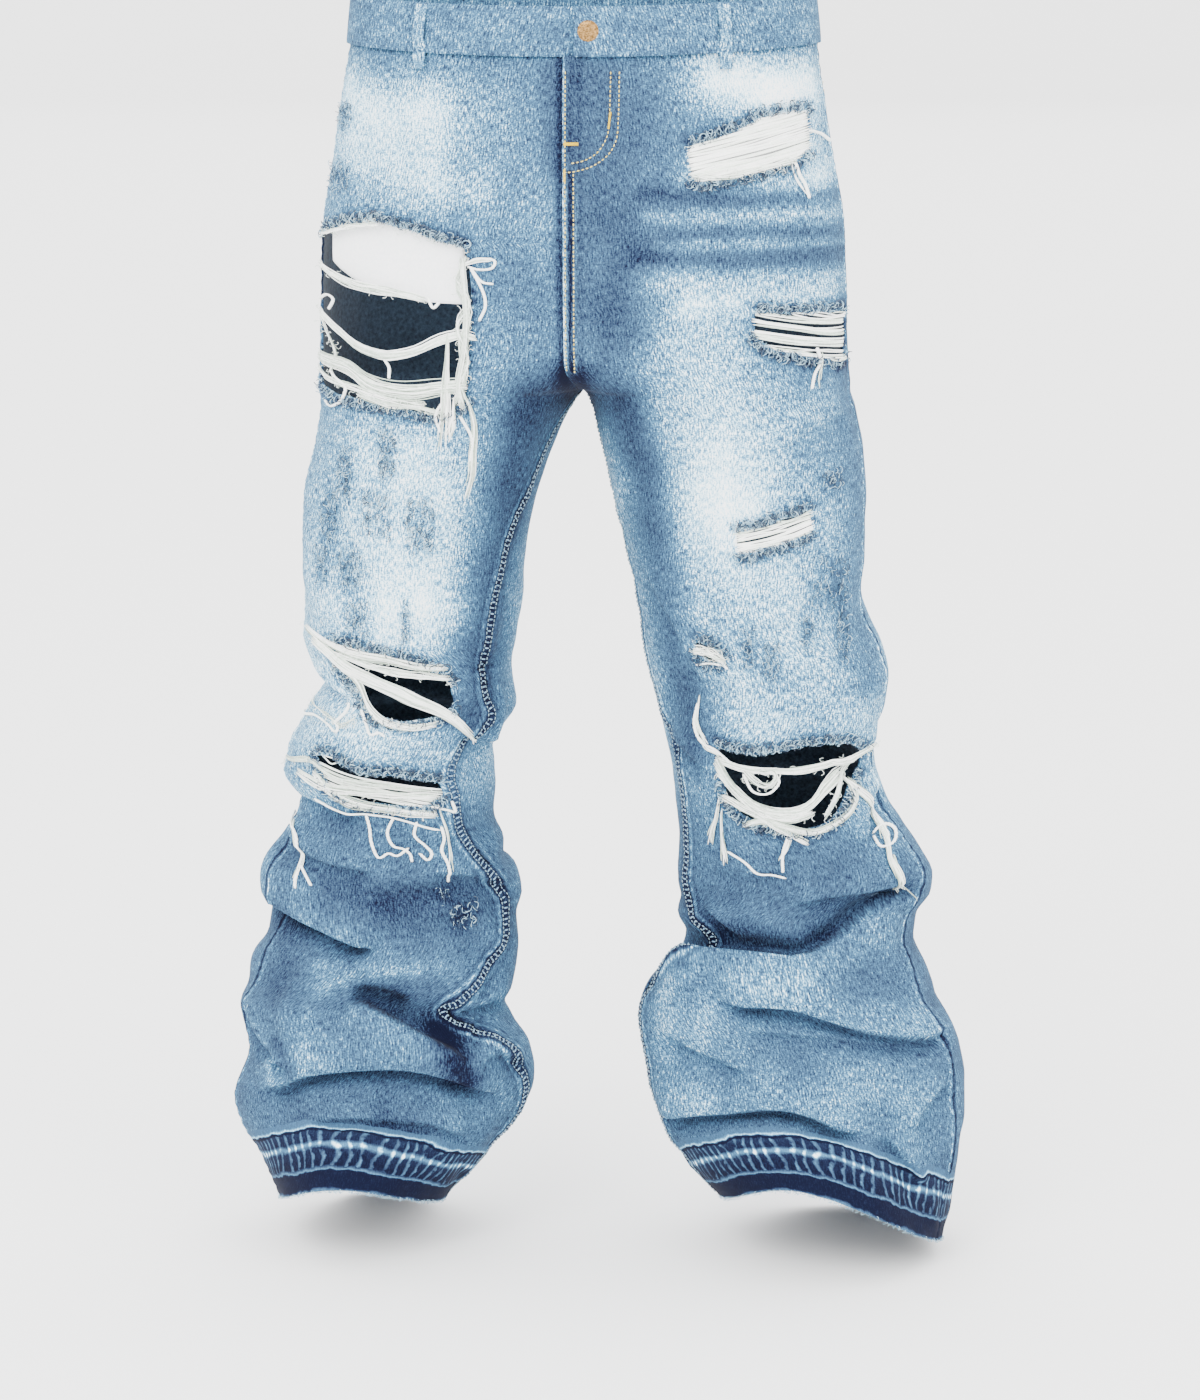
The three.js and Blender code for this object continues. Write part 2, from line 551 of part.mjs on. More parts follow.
// The zip lies behind the left front's fly, and the shield behind the zip
const zipOut = -DENIM - LAYER_GAP;
add('zip_slider', strip(ZIP_SLIDER, [SLIDER_TOP, SLIDER_BOTTOM], 1, zipOut, ZIP_WALL), BRASS);
add('zip_tape', strip(ZIP_TAPE, [SLIDER_BOTTOM - 1, -70, FLY_BOTTOM + 6], 2, zipOut, ZIP_WALL), BRASS);
add('fly_shield', strip(FLY_SHIELD, [WAIST_SEAM - 2, -70, FLY_BOTTOM], 3,
  zipOut - ZIP_WALL - SEAM_GAP, DENIM), DENIM_BLUE);

const fastened = { leg: 'left', angle: angleAt(LEGS.left, BUTTON_AT, 0), z: 0 };
const buttonMesh = add('button', button(), BRASS);
buttonMesh.position.copy(placed(fastened, BAND_PROUD + SEAM_GAP));
buttonMesh.quaternion.setFromUnitVectors(new THREE.Vector3(0, -1, 0), faceNormal('left', fastened.angle, 0));

for (const [name, hank] of Object.entries(THREAD_HANKS)) add(name, threadHank(hank), THREAD_WHITE);

export default jeans;
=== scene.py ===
import math
import bpy
import numpy as np
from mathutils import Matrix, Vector


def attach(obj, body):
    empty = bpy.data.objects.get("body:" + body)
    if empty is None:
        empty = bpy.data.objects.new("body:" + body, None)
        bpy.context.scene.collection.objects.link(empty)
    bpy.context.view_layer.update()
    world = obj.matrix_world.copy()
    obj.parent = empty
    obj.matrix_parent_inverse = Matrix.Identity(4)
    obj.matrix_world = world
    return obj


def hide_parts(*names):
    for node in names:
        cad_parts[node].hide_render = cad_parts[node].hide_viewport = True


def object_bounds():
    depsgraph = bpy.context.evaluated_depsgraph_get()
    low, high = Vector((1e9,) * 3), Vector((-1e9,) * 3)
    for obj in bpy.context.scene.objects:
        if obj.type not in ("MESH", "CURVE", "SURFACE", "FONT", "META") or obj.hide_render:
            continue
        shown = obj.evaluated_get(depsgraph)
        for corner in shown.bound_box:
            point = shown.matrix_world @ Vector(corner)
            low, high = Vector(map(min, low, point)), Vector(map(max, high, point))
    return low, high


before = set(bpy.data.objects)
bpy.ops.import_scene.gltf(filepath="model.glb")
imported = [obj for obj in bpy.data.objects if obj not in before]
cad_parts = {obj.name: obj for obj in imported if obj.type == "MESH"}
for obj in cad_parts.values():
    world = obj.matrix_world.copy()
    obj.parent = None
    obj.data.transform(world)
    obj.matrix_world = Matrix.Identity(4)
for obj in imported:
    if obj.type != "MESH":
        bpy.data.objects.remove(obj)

CAD_BOX = [[float(v) for v in corner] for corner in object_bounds()]
MM = 0.001
RNG = np.random.default_rng(7)

# ---------------------------------------------------------------------------------- cut and wall
DENIM = 1.5                # one layer of mid-weight denim
CELL = 3.1                 # spacing of a front panel's mesh on the thighs, and on the stacked shins
SHIN_CELL = 2.3
SHIN_TOP = -640
BACK_CELL = 5.0            # a back panel's rows, and its number of columns
BACK_COLUMNS = 66
CENTRE_GAP = 0.4           # from the centre plane to each front's edge
ROUNDNESS = 0.94           # of a leg's section: 1 is an ellipse, less is squarer
WAIST_TOP = 18
WAIST_SEAM = -18
BAND_WALL = 2.6            # the waistband's wall, and how far it stands proud of the cloth
BAND_PROUD = 1.0
YOKE_AT_CENTRE = -78       # the yoke seam's height at the back, and where the rows below it are level
YOKE_AT_SIDE = -46
YOKE_BLEND = -190
UNDER_END = 38             # how far the waistband's under end reaches behind the fly
LINING_TOP = -20.0         # of the pocket bags and the fly shield
POCKET_NEAR, POCKET_FAR = 52.0, 166.0       # a back pocket's sides, from the centre plane

# Height, outer and inner reach from the centre plane, front and back depth, side line, lifts of
# the front, back and outer side, and the turns of the inseam and the outseam in degrees.
COLUMNS = ("z", "outer", "inner", "front", "back", "side", "lift_front", "lift_back", "lift_outer",
           "inseam", "outseam")
TRUNK = [
    (30, 176, -176, -111, 118, 0, -10, 10, 0, 0, 2),
    (-18, 181, -181, -113, 121, 0, -10, 10, 0, 0, 2),
    (-60, 188, -188, -116, 128, 0, -6, 6, 0, 0, 3),
    (-113, 196, -194, -118, 138, 0, -2, 2, 0, 0, 4),
    (-150, 203, -194, -118, 144, 0, 0, 0, 0, 0, 4),
    (-190, 206, -182, -116, 146, 2, 0, 0, 0, 0, 5),
    (-230, 207, -134, -113, 142, 4, 0, 0, 0, 0, 5),
    (-255, 208, -92, -110, 135, 6, 0, 0, 0, 0, 6),
    (-272, 209, -48, -108, 129, 8, 0, 0, 0, 0, 6),
    (-283, 210, -15, -107, 125, 9, 0, 0, 0, 0, 6),
    (-288, 210, 0.4, -106, 123, 9, 0, 0, 0, 0, 7),
]
RIGHT_LEG = [
    (-301, 209, 10, -105, 119, 9, 0, 0, 0, 4, 7),
    (-325, 212, 22, -103, 111, 8, 0, 0, 0, 10, 7),
    (-372, 221, 37, -99, 101, 6, 0, 0, 0, 20, 6),
    (-420, 224, 47, -97, 93, 4, 0, 0, 0, 29, 4),
    (-468, 223, 53, -95, 85, 2, 0, 0, 0, 33, 2),
    (-484, 223, 54, -95, 82, 1, 0, 0, 0, 34, 2),
    (-503, 211, 57, -92, 79, 0, 0, 0, 0, 36, 2),
    (-520, 206, 57, -90, 76, -1, 0, 0, 0, 37, 3),
    (-541, 216, 54, -88, 72, -2, 0, 0, 0, 34, 4),
    (-560, 227, 66, -87, 70, -2, 0, 0, 0, 40, 6),
    (-580, 236, 75, -86, 68, -2, 0, 0, 0, 44, 8),
    (-592, 237, 74, -84, 68, -2, 0, 0, 0, 46, 10),
    (-608, 225, 72, -80, 68, -1, 0, 0, 0, 46, 12),
    (-627, 228, 72, -75, 69, 0, 0, 0, 0, 44, 15),
    (-652, 241, 68, -68, 70, 2, 0, 0, 0, 36, 18),
    (-676, 254, 60, -63, 70, 4, 0, 0, 0, 26, 22),
    (-701, 258, 54, -60, 70, 6, 0, 0, 0, 18, 26),
    (-726, 260, 54, -60, 70, 6, 2, -2, 0, 18, 30),
    (-751, 270, 56, -62, 70, 6, 4, -4, 0, 30, 30),
    (-776, 278, 62, -66, 70, 5, 6, -6, 0, 44, 22),
    (-789, 280, 68, -68, 71, 4, 8, -8, 0, 50, 16),
    (-802, 277, 62, -70, 72, 3, 10, -10, 0, 40, 14),
    (-826, 275, 47, -72, 74, 2, 14, -14, 0, 20, 14),
    (-851, 282, 44, -70, 78, 2, 18, -18, 0, 12, 14),
    (-870, 289, 49, -71, 84, 3, 20, -20, 0, 8, 14),
    (-889, 281, 60, -76, 93, 5, 23, -24, 0, 6, 14),
    (-914, 266, 82, -88, 108, 8, 26, -28, 0, 5, 12),
    (-953, 249, 114, -106, 124, 11, 28, -33, 0, 5, 10),
]
LEFT_LEG = [
    (-301, 214, 8, -105, 119, 9, 0, 0, 0, 2, 7),
    (-325, 219, 14, -103, 111, 8, 0, 0, 0, 4, 8),
    (-372, 224, 25, -99, 101, 6, 0, 0, 0, 6, 10),
    (-420, 224, 36, -97, 93, 4, 0, 0, 0, 8, 12),
    (-444, 222, 42, -96, 89, 3, 0, 0, 0, 9, 12),
    (-468, 227, 46, -95, 85, 2, 0, 0, 0, 10, 12),
    (-493, 237, 50, -94, 81, 1, 0, 0, 0, 12, 12),
    (-517, 242, 56, -92, 77, 0, 0, 0, 0, 14, 12),
    (-541, 241, 63, -90, 73, -1, 0, 0, 0, 16, 12),
    (-566, 233, 67, -88, 70, -2, 0, 0, 0, 20, 12),
    (-584, 231, 70, -86, 68, -2, 0, 0, 0, 22, 12),
    (-602, 237, 73, -82, 68, -1, 0, 0, 0, 23, 12),
    (-627, 252, 75, -74, 68, 1, 0, 0, 0, 22, 14),
    (-652, 268, 77, -67, 68, 3, 0, 0, 0, 20, 16),
    (-676, 279, 76, -62, 68, 4, 0, 0, 0, 20, 20),
    (-690, 278, 75, -60, 68, 5, 0, 0, 0, 22, 24),
    (-708, 268, 75, -58, 68, 6, 2, -2, 0, 26, 26),
    (-726, 267, 82, -58, 69, 6, 4, -4, 0, 34, 26),
    (-738, 270, 79, -60, 69, 6, 5, -5, 0, 34, 26),
    (-751, 275, 63, -64, 70, 5, 6, -6, 0, 16, 26),
    (-765, 281, 53, -67, 70, 5, 7, -7, 0, 10, 26),
    (-788, 291, 47, -67, 70, 5, 9, -9, 0, 8, 26),
    (-813, 305, 49, -67, 71, 4, 12, -12, 0, 8, 26),
    (-839, 311, 53, -68, 73, 4, 15, -15, -2, 8, 26),
    (-864, 311, 59, -70, 77, 4, 19, -18, -5, 8, 24),
    (-889, 307, 66, -75, 85, 5, 24, -20, -8, 8, 22),
    (-914, 303, 76, -84, 97, 7, 30, -20, -11, 8, 20),
    (-940, 298, 92, -96, 110, 9, 34, -20, -14, 8, 18),
    (-962, 292, 112, -106, 120, 10, 36, -20, -16, 8, 18),
]
ROWS = {"right": np.array(TRUNK + RIGHT_LEG, float), "left": np.array(TRUNK + LEFT_LEG, float)}
SIDE = {"right": -1, "left": 1}            # the wearer's legs, and the sign of x on each one's side
HEM = {leg: rows[-1, 0] for leg, rows in ROWS.items()}


def smooth(low, high, x):
    """0 below low, 1 above high and a soft step between, either way round."""
    t = np.clip((np.asarray(x, float) - low) / (high - low), 0, 1)
    return t * t * (3 - 2 * t)


def column(leg, name, z):
    """One column of the sections at heights z, smooth and without overshoot."""
    rows = ROWS[leg]
    at, value = rows[:, 0], rows[:, COLUMNS.index(name)]
    slope = np.diff(value) / np.diff(at)
    tangent = np.concatenate([slope[:1], np.zeros(len(slope) - 1), slope[-1:]])
    same = slope[:-1] * slope[1:] > 0
    tangent[1:-1][same] = (2 * slope[:-1] * slope[1:])[same] / (slope[:-1] + slope[1:])[same]
    z = np.clip(z, at[-1], at[0])
    i = np.clip(np.searchsorted(-at, -z, side="right") - 1, 0, len(at) - 2)
    step = at[i + 1] - at[i]
    t = (z - at[i]) / step
    return (value[i] * (1 + 2 * t) * (1 - t) ** 2 + value[i + 1] * t * t * (3 - 2 * t)
            + step * (tangent[i] * t * (1 - t) ** 2 - tangent[i + 1] * t * t * (1 - t)))


def angle_at(leg, x, z, behind=False):
    """Angle on the section at x mm from the centre plane towards this leg's side."""
    outer, inner = column(leg, "outer", z), column(leg, "inner", z)
    reach = np.clip((x - (outer + inner) / 2) / ((outer - inner) / 2), -1, 1)
    angle = np.degrees(np.arccos(np.sign(reach) * np.abs(reach) ** (1 / ROUNDNESS)))
    return angle if behind else -angle


def edges(leg, z):
    """Angles of a panel's front medial edge, back medial edge and outseam."""
    joined = column(leg, "inner", z) < CENTRE_GAP
    turn = column(leg, "inseam", z)
    front = np.where(joined, angle_at(leg, CENTRE_GAP, z), turn - 180)
    back = np.where(joined, angle_at(leg, 0.0, z, True), turn + 180)
    return front, back, -column(leg, "outseam", z)


def body(leg, angle, z):
    """Point of the plain worn form, in mm."""
    angle, z = np.broadcast_arrays(np.asarray(angle, float), np.asarray(z, float))
    outer, inner, side = (column(leg, k, z) for k in ("outer", "inner", "side"))
    c, d = np.cos(np.radians(angle)), np.sin(np.radians(angle))
    depth = np.where(d < 0, side - column(leg, "front", z), column(leg, "back", z) - side)
    lift = np.where(d < 0, column(leg, "lift_front", z), column(leg, "lift_back", z)) * np.abs(d) ** 1.5
    x = (outer + inner) / 2 + (outer - inner) / 2 * np.sign(c) * np.abs(c) ** ROUNDNESS
    y = side + depth * np.sign(d) * np.abs(d) ** ROUNDNESS
    return np.stack([SIDE[leg] * x, y, z + lift + column(leg, "lift_outer", z) * c], axis=-1)


def unit(v):
    return v / np.maximum(np.linalg.norm(v, axis=-1, keepdims=True), 1e-9)


def normal(leg, angle, z):
    across = body(leg, angle + 0.7, z) - body(leg, angle - 0.7, z)
    up = body(leg, angle, z + 1.5) - body(leg, angle, z - 1.5)
    return unit(np.cross(across, up)) * SIDE[leg]


# ---------------------------------------------------------------------------------- folds
def length_along(line):
    """The distance run along a line at each of its points."""
    return np.concatenate([[0], np.cumsum(np.linalg.norm(np.diff(line, axis=0), axis=1))])


def spread(route, count):
    """A route's points, evenly spaced along it."""
    route = np.asarray(route, float)
    run = length_along(route)
    at = np.linspace(0, run[-1], count)
    return np.stack([np.interp(at, run, route[:, k]) for k in range(route.shape[1])], axis=1)


def rounded(route, count):
    """A route as a smooth curve through its points (Catmull-Rom)."""
    route = np.asarray(route, float)
    if len(route) < 3:
        return spread(route, count)
    ends = np.concatenate([[2 * route[0] - route[1]], route, [2 * route[-1] - route[-2]]])
    t = np.linspace(0, 1, 9)[:-1, None]
    arcs = [0.5 * (2 * b + (c - a) * t + (2 * a - 5 * b + 4 * c - d) * t * t
                   + (3 * b - a - 3 * c + d) * t ** 3)
            for a, b, c, d in zip(ends[:-3], ends[1:-2], ends[2:-1], ends[3:])]
    return spread(np.concatenate(arcs + [route[-1:]]), count)


def on_form(leg, line):
    """A line of [angle, height] round the leg, as points of the form."""
    line = np.asarray(line, float)
    return body(leg, line[:, 0], line[:, 1])


def beside(points, normals, line):
    """Signed distance from a line (plus is above it, or to its left), and the share run along it."""
    best = np.full(len(points), 1e9)
    signed = np.full(len(points), 1e9)
    share = np.zeros(len(points))
    run = length_along(line)
    for k, (a, b) in enumerate(zip(line[:-1], line[1:])):
        ab = b - a
        t = np.clip((points - a) @ ab / max(ab @ ab, 1e-9), 0, 1)
        off = points - (a + t[:, None] * ab)
        distance = np.linalg.norm(off, axis=1)
        above = np.cross(normals, ab)
        above *= np.where(above[:, 2:] < 0, -1, 1)
        near = distance < best
        best[near] = distance[near]
        signed[near] = (distance * np.where((off * above).sum(1) < 0, -1, 1))[near]
        share[near] = ((run[k] + t * (run[k + 1] - run[k])) / run[-1])[near]
    return signed, share


# Folds of stacked cloth: route, swell, hollow, widths of each, and how far the lip sags. A "droop"
# hangs over the hollow below it, and a "rim" stands up in front of the hollow above it. A swell with
# no hollow is a ridge, and a hollow alone is a trough.
LIPS = {
    "right": [
        ("droop", [(18, -655), (-10, -690), (-42, -702), (-59, -710), (-75, -720), (-86, -731),
            (-91, -742)], 9.0, 11.0, 20, 14, 9),
        ("ridge", [(-92, -744), (-78, -750), (-64, -758), (-58, -776), (-57, -800), (-56, -824)], 4.2,
            0.0, 10, 10, 0),
        ("droop", [(-83, -768), (-94, -768), (-111, -780)], -1.0, 7.0, 12, 15, 0),
        ("rim", [(-83, -779), (-96, -793), (-103, -803), (-113, -815), (-121, -824), (-130, -830)], 8.0,
            12.0, 15, 13, 6),
        ("droop", [(-129, -824), (-138, -806), (-150, -790)], 2.0, 5.0, 9, 8, 0),
        ("droop", [(-132, -829), (-147, -827), (-166, -838)], 2.0, 5.0, 9, 8, 0),
        ("droop", [(-40, -868), (-52, -856), (-64, -844), (-80, -837), (-103, -835), (-115, -841),
            (-131, -852), (-150, -864)], 9.0, 9.0, 24, 12, 8),
        ("droop", [(-21, -787), (-33, -819), (-44, -829), (-46, -846)], 2.0, 6.0, 9, 10, 0),
        ("droop", [(-172, -777), (-150, -782), (-128, -790)], 4.0, 5.0, 14, 12, 3),
        ("droop", [(-64, -896), (-90, -892), (-120, -893), (-145, -902)], 3.0, 5.5, 12, 9, 2),
        ("droop", [(6, -500), (-18, -508), (-44, -520), (-60, -528)], 4.5, 4.5, 14, 10, 3),
        ("droop", [(0, -598), (-26, -606), (-52, -614), (-80, -622)], 4.0, 4.0, 12, 10, 3),
        ("droop", [(-128, -552), (-145, -560), (-165, -566)], 3.5, 4.0, 12, 10, 2),
        ("droop", [(-8, -640), (-30, -652), (-62, -664), (-90, -668)], 3.5, 3.5, 18, 14, 0),
        ("droop", [(-165, -690), (-140, -676), (-112, -668)], 3.5, 3.5, 16, 14, 0),
        ("droop", [(-160, -440), (-150, -500), (-155, -545)], 1.6, 2.0, 12, 14, 0),
        ("droop", [(-40, -340), (-75, -420), (-90, -480)], 1.6, 1.4, 30, 30, 0),
        ("droop", [(24, -690), (60, -676), (95, -672), (130, -690), (160, -720)], 7.0, 6.0, 22, 14, 5),
        ("droop", [(10, -770), (50, -790), (90, -786), (140, -770)], 8.0, 7.0, 24, 14, 6),
        ("droop", [(20, -858), (60, -868), (110, -874), (160, -862)], 8.0, 7.0, 24, 14, 6),
        ("droop", [(30, -560), (70, -548), (110, -552), (150, -572)], 6.0, 6.0, 18, 13, 4),
        ("droop", [(20, -620), (60, -606), (100, -604), (140, -622)], 5.0, 5.0, 18, 12, 3),
        ("droop", [(40, -500), (80, -486), (120, -492)], 3.5, 3.5, 18, 14, 1),
        ("droop", [(70, -300), (110, -318), (150, -352)], 4.0, 4.0, 18, 16, 1),
    ],
    "left": [
        ("rim", [(-172, -760), (-159, -747), (-150, -742), (-128, -740), (-106, -740), (-88, -742),
            (-73, -726), (-54, -705), (-37, -692), (-18, -684)], 8.0, 10.0, 19, 13, 8),
        ("droop", [(-122, -768), (-112, -774), (-101, -775), (-89, -775), (-80, -782), (-69, -792),
            (-56, -799), (-34, -802), (-14, -798)], 8.0, 8.0, 17, 11, 5),
        ("droop", [(-169, -880), (-150, -879), (-135, -877), (-119, -875), (-103, -869), (-93, -871),
            (-82, -884), (-68, -896)], 8.5, 8.5, 20, 12, 7),
        ("droop", [(-94, -691), (-80, -683), (-58, -680), (-30, -676)], 3.0, 5.0, 15, 12, 2),
        ("droop", [(-141, -696), (-127, -710), (-120, -730)], 1.5, 6.0, 10, 12, 0),
        ("droop", [(-113, -801), (-89, -805), (-65, -811), (-37, -812)], 2.0, 3.2, 8, 7, 0),
        ("droop", [(-64, -888), (-54, -905), (-38, -925)], 5.0, 5.0, 13, 12, 2),
        ("droop", [(-30, -840), (-44, -862), (-50, -884)], 4.0, 4.0, 18, 16, 0),
        ("droop", [(-150, -800), (-128, -822), (-108, -842)], 4.0, 4.0, 18, 16, 0),
        ("droop", [(-10, -560), (-30, -566), (-50, -578)], 3.6, 3.6, 14, 12, 2),
        ("droop", [(-8, -600), (-30, -612), (-52, -640)], 3.2, 3.2, 14, 14, 1),
        ("droop", [(-158, -560), (-140, -568), (-124, -580)], 3.0, 3.0, 14, 12, 1),
        ("droop", [(-20, -300), (-50, -310), (-70, -330)], 2.0, 2.0, 20, 20, 0),
        ("droop", [(-30, -430), (-55, -440), (-80, -470)], 2.0, 2.0, 22, 20, 0),
        ("droop", [(-150, -420), (-128, -470), (-118, -520)], 1.8, 1.8, 26, 26, 0),
        ("droop", [(24, -690), (60, -676), (95, -672), (130, -690), (160, -720)], 7.0, 6.0, 22, 14, 5),
        ("droop", [(10, -760), (50, -780), (90, -776), (140, -760)], 8.0, 7.0, 24, 14, 6),
        ("droop", [(20, -850), (60, -866), (110, -870), (160, -856)], 8.0, 7.0, 24, 14, 6),
        ("droop", [(30, -556), (70, -544), (110, -548), (150, -568)], 6.0, 6.0, 18, 13, 4),
        ("droop", [(20, -616), (60, -602), (100, -600), (140, -618)], 5.0, 5.0, 18, 12, 3),
        ("droop", [(8, -440), (40, -452), (80, -462), (120, -470)], 4.5, 4.0, 18, 14, 2),
        ("droop", [(70, -300), (110, -318), (150, -352)], 4.0, 4.0, 18, 16, 1),
    ],
}
HEM_ARCH = {"right": (7, -84), "left": (13, -104)}     # how far a hem arches up in front, and where
FOLD_STEPS = 22            # points along a fold
END_FADE = 0.16            # share of a fold's length over which each end dies away


def noise(u, v, seed):
    """Smooth repeatable noise, about -1 to 1, one cell a unit."""
    table = np.random.default_rng(seed).uniform(-1, 1, (64, 64))
    i, j = np.floor(u).astype(int), np.floor(v).astype(int)
    s, t = smooth(0, 1, u - i), smooth(0, 1, v - j)
    pick = lambda a, b: table[(i + a) % 64, (j + b) % 64]
    low = pick(0, 0) * (1 - s) + pick(1, 0) * s
    high = pick(0, 1) * (1 - s) + pick(1, 1) * s
    return low * (1 - t) + high * t


def folded(leg, angle, z):
    """Points of the cloth with its folds, their normals, and how far the folds stand out."""
    shape = np.broadcast(angle, z).shape
    angle, z = (np.broadcast_to(a, shape).ravel().astype(float) for a in (angle, z))
    place, facing = body(leg, angle, z), normal(leg, angle, z)
    droop = np.zeros(len(z))
    wave = z / 34 + 2.2 * noise(z / 90, angle / 60, 3)
    ripple = noise(place[:, 0] / 46 + place[:, 1] / 80, wave, 11 if leg == "left" else 12)
    fine = noise(place[:, 0] / 17 + place[:, 1] / 24, z / 15, 13)
    loose = smooth(-250, -620, z)
    height = ripple * (0.8 + 2.6 * loose) + fine * (0.35 + 0.75 * loose)
    for kind, route, swell, hollow, wide, deep, sag in LIPS[leg]:
        line = on_form(leg, rounded(route, FOLD_STEPS))
        low, high = line[:, 2].min() - 70, line[:, 2].max() + 70
        near = np.flatnonzero((place[:, 2] > low) & (place[:, 2] < high))
        if not len(near):
            continue
        q, share = beside(place[near], facing[near], line)
        if kind == "rim":
            q, sag = -q, -sag
        ends = smooth(0, END_FADE, share) * smooth(1, 1 - END_FADE, share)
        swells = swell * np.exp(-((q - 0.35 * wide) / wide) ** 2)
        hollows = -hollow * np.exp(-((q + 0.45 * deep) / deep) ** 2)
        mix = smooth(-2.4, 2.4, q)
        if kind == "ridge":
            swells, mix = swell * np.exp(-(q / wide) ** 2), 1.0
        height[near] += ends * (swells * mix + hollows * (1 - mix))
        droop[near] += ends * sag * np.exp(-((q - 0.2 * wide) / (0.6 * wide)) ** 2)
    height *= smooth(0, -30, z) * 0.85 + 0.15
    moved = place + facing * height[:, None]
    reach, middle = HEM_ARCH[leg]
    moved[:, 2] += reach * np.exp(-((angle - middle) / 36) ** 2) * smooth(-862, -950, z) - droop
    return moved.reshape(*shape, 3), facing.reshape(*shape, 3), height.reshape(shape)


# ---------------------------------------------------------------------------------- wash
# Soft strokes of fading or of darker cloth, and some of painted shade and painted highlight on
# folds and at the crotch: (x, height) route, half width and strength. Plus is lighter. x is signed,
# so minus is the wearer's right.
STROKES = [
    ([(-185, -60), (-150, -75), (-110, -70)], 28, 0.36), ([(-190, -110), (-110, -112)], 22, 0.24),
    ([(-195, -142), (-100, -140)], 18, 0.08), ([(-96, -92), (-76, -94)], 16, 0.06),
    ([(-105, -128), (-70, -128)], 16, 0.14), ([(-70, -150), (-30, -180)], 24, 0.02),
    ([(-14, -40), (-13, -110)], 9, -0.12), ([(-60, -60), (-30, -140)], 26, 0.06),
    # The second stroke on the next line is painted shade at the crotch, where the legs meet.
    ([(-30, -200), (-24, -270)], 22, -0.05), ([(-6, -272), (-2, -300)], 13, -0.44),
    ([(110, -45), (180, -52)], 24, 0.44), ([(150, -70), (190, -110)], 20, 0.26),
    ([(90, -115), (180, -125)], 12, 0.20), ([(56, -130), (120, -137), (205, -132)], 6, -0.18),
    ([(60, -148), (205, -148)], 6, 0.16), ([(70, -163), (140, -159), (205, -164)], 5, -0.12),
    ([(70, -170), (205, -170)], 5, 0.12), ([(52, -178), (120, -183), (205, -179)], 8, -0.19),
    ([(60, -197), (205, -197)], 14, 0.18), ([(50, -70), (70, -120)], 26, -0.08),
    ([(90, -215), (190, -212)], 10, 0.18), ([(18, -50), (22, -120), (34, -230)], 28, -0.15),
    # The first stroke on the next line is painted shade at the crotch, where the legs meet.
    ([(6, -272), (2, -300)], 13, -0.44), ([(50, -150), (56, -230)], 20, -0.08),
    ([(24, -220), (30, -280)], 18, -0.10), ([(95, -240), (110, -300), (120, -370)], 40, 0.24),
    ([(125, -380), (150, -480), (160, -540)], 40, 0.06), ([(130, -470), (180, -545)], 22, -0.05),
    ([(-150, -330), (-155, -420), (-150, -470)], 46, 0.14), ([(-110, -330), (-112, -460)], 34, 0.12),
    ([(-170, -545), (-150, -560)], 34, 0.08), ([(-205, -560), (-140, -560)], 16, 0.04),
    ([(38, -296), (56, -350), (75, -470), (92, -560)], 20, -0.33),
    ([(-30, -292), (-50, -350), (-70, -440), (-80, -540)], 22, -0.36),
    ([(218, -250), (222, -330), (222, -430), (232, -510)], 17, -0.20), ([(-218, -330), (-220, -440)], 9, -0.12),
    ([(170, -520), (190, -560)], 26, 0.02), ([(230, -600), (250, -640)], 18, 0.08),
    ([(130, -650), (200, -660)], 24, -0.04), ([(-190, -640), (-150, -650)], 26, -0.02),
    ([(-150, -690), (-110, -690)], 24, -0.15), ([(-235, -700), (-240, -800)], 14, -0.10),
    ([(100, -780), (98, -850)], 18, 0.12), ([(230, -830), (280, -860)], 26, 0.12),
    ([(-170, -800), (-130, -800)], 24, -0.07), ([(-160, -740), (-120, -752)], 12, 0.06),
    # The second stroke on the next line is painted shade in the hollow above the left leg's rim fold.
    ([(-200, -690), (-150, -702)], 16, -0.08), ([(110, -715), (200, -722)], 12, -0.12),
    ([(-220, -760), (-180, -770)], 24, -0.03), ([(200, -752), (270, -740)], 12, -0.04),
    # The first stroke on the next line is a painted highlight along the top of the left leg's rim fold.
    ([(120, -752), (190, -752)], 6, 0.06), ([(-215, -868), (-120, -868)], 18, -0.10),
    # The second stroke on the next line is painted shade under a fold of the left shin.
    ([(-240, -835), (-150, -815), (-90, -828)], 9, -0.03), ([(150, -885), (250, -890)], 12, -0.05),
    # On the next line: painted shadow in the tuck beside the right inseam, then a painted highlight down a fold
    # ridge.
    ([(-108, -798), (-92, -830)], 13, -0.46), ([(-206, -748), (-216, -785), (-214, -820)], 5, 0.07),
    ([(-196, -792), (-176, -812), (-150, -826)], 12, -0.02), ([(-205, -835), (-180, -842)], 10, -0.05),
    # The first stroke on the next line is painted shade in a crease at the right shin's outer side.
    ([(-240, -812), (-228, -826)], 6, -0.22), ([(72, -760), (70, -820)], 9, 0.16),
    # On the next line: a painted highlight along the right shin's flap ridge, then painted shade in the valley
    # below it.
    ([(-130, -748), (-175, -752), (-205, -766)], 6, 0.14), ([(-120, -760), (-140, -768)], 12, -0.10),
    # The first stroke on the next line is painted shade under a fold of the left shin.
    ([(210, -795), (250, -800)], 10, -0.05), ([(160, -790), (240, -790)], 26, 0.03),
]
WASH_BY_HEIGHT = [
    (20, 0.46), (-30, 0.46), (-110, 0.49), (-200, 0.47), (-300, 0.56), (-380, 0.65), (-450, 0.68),
    (-540, 0.65), (-590, 0.57), (-630, 0.44), (-700, 0.38), (-780, 0.41), (-860, 0.39), (-960, 0.36)]

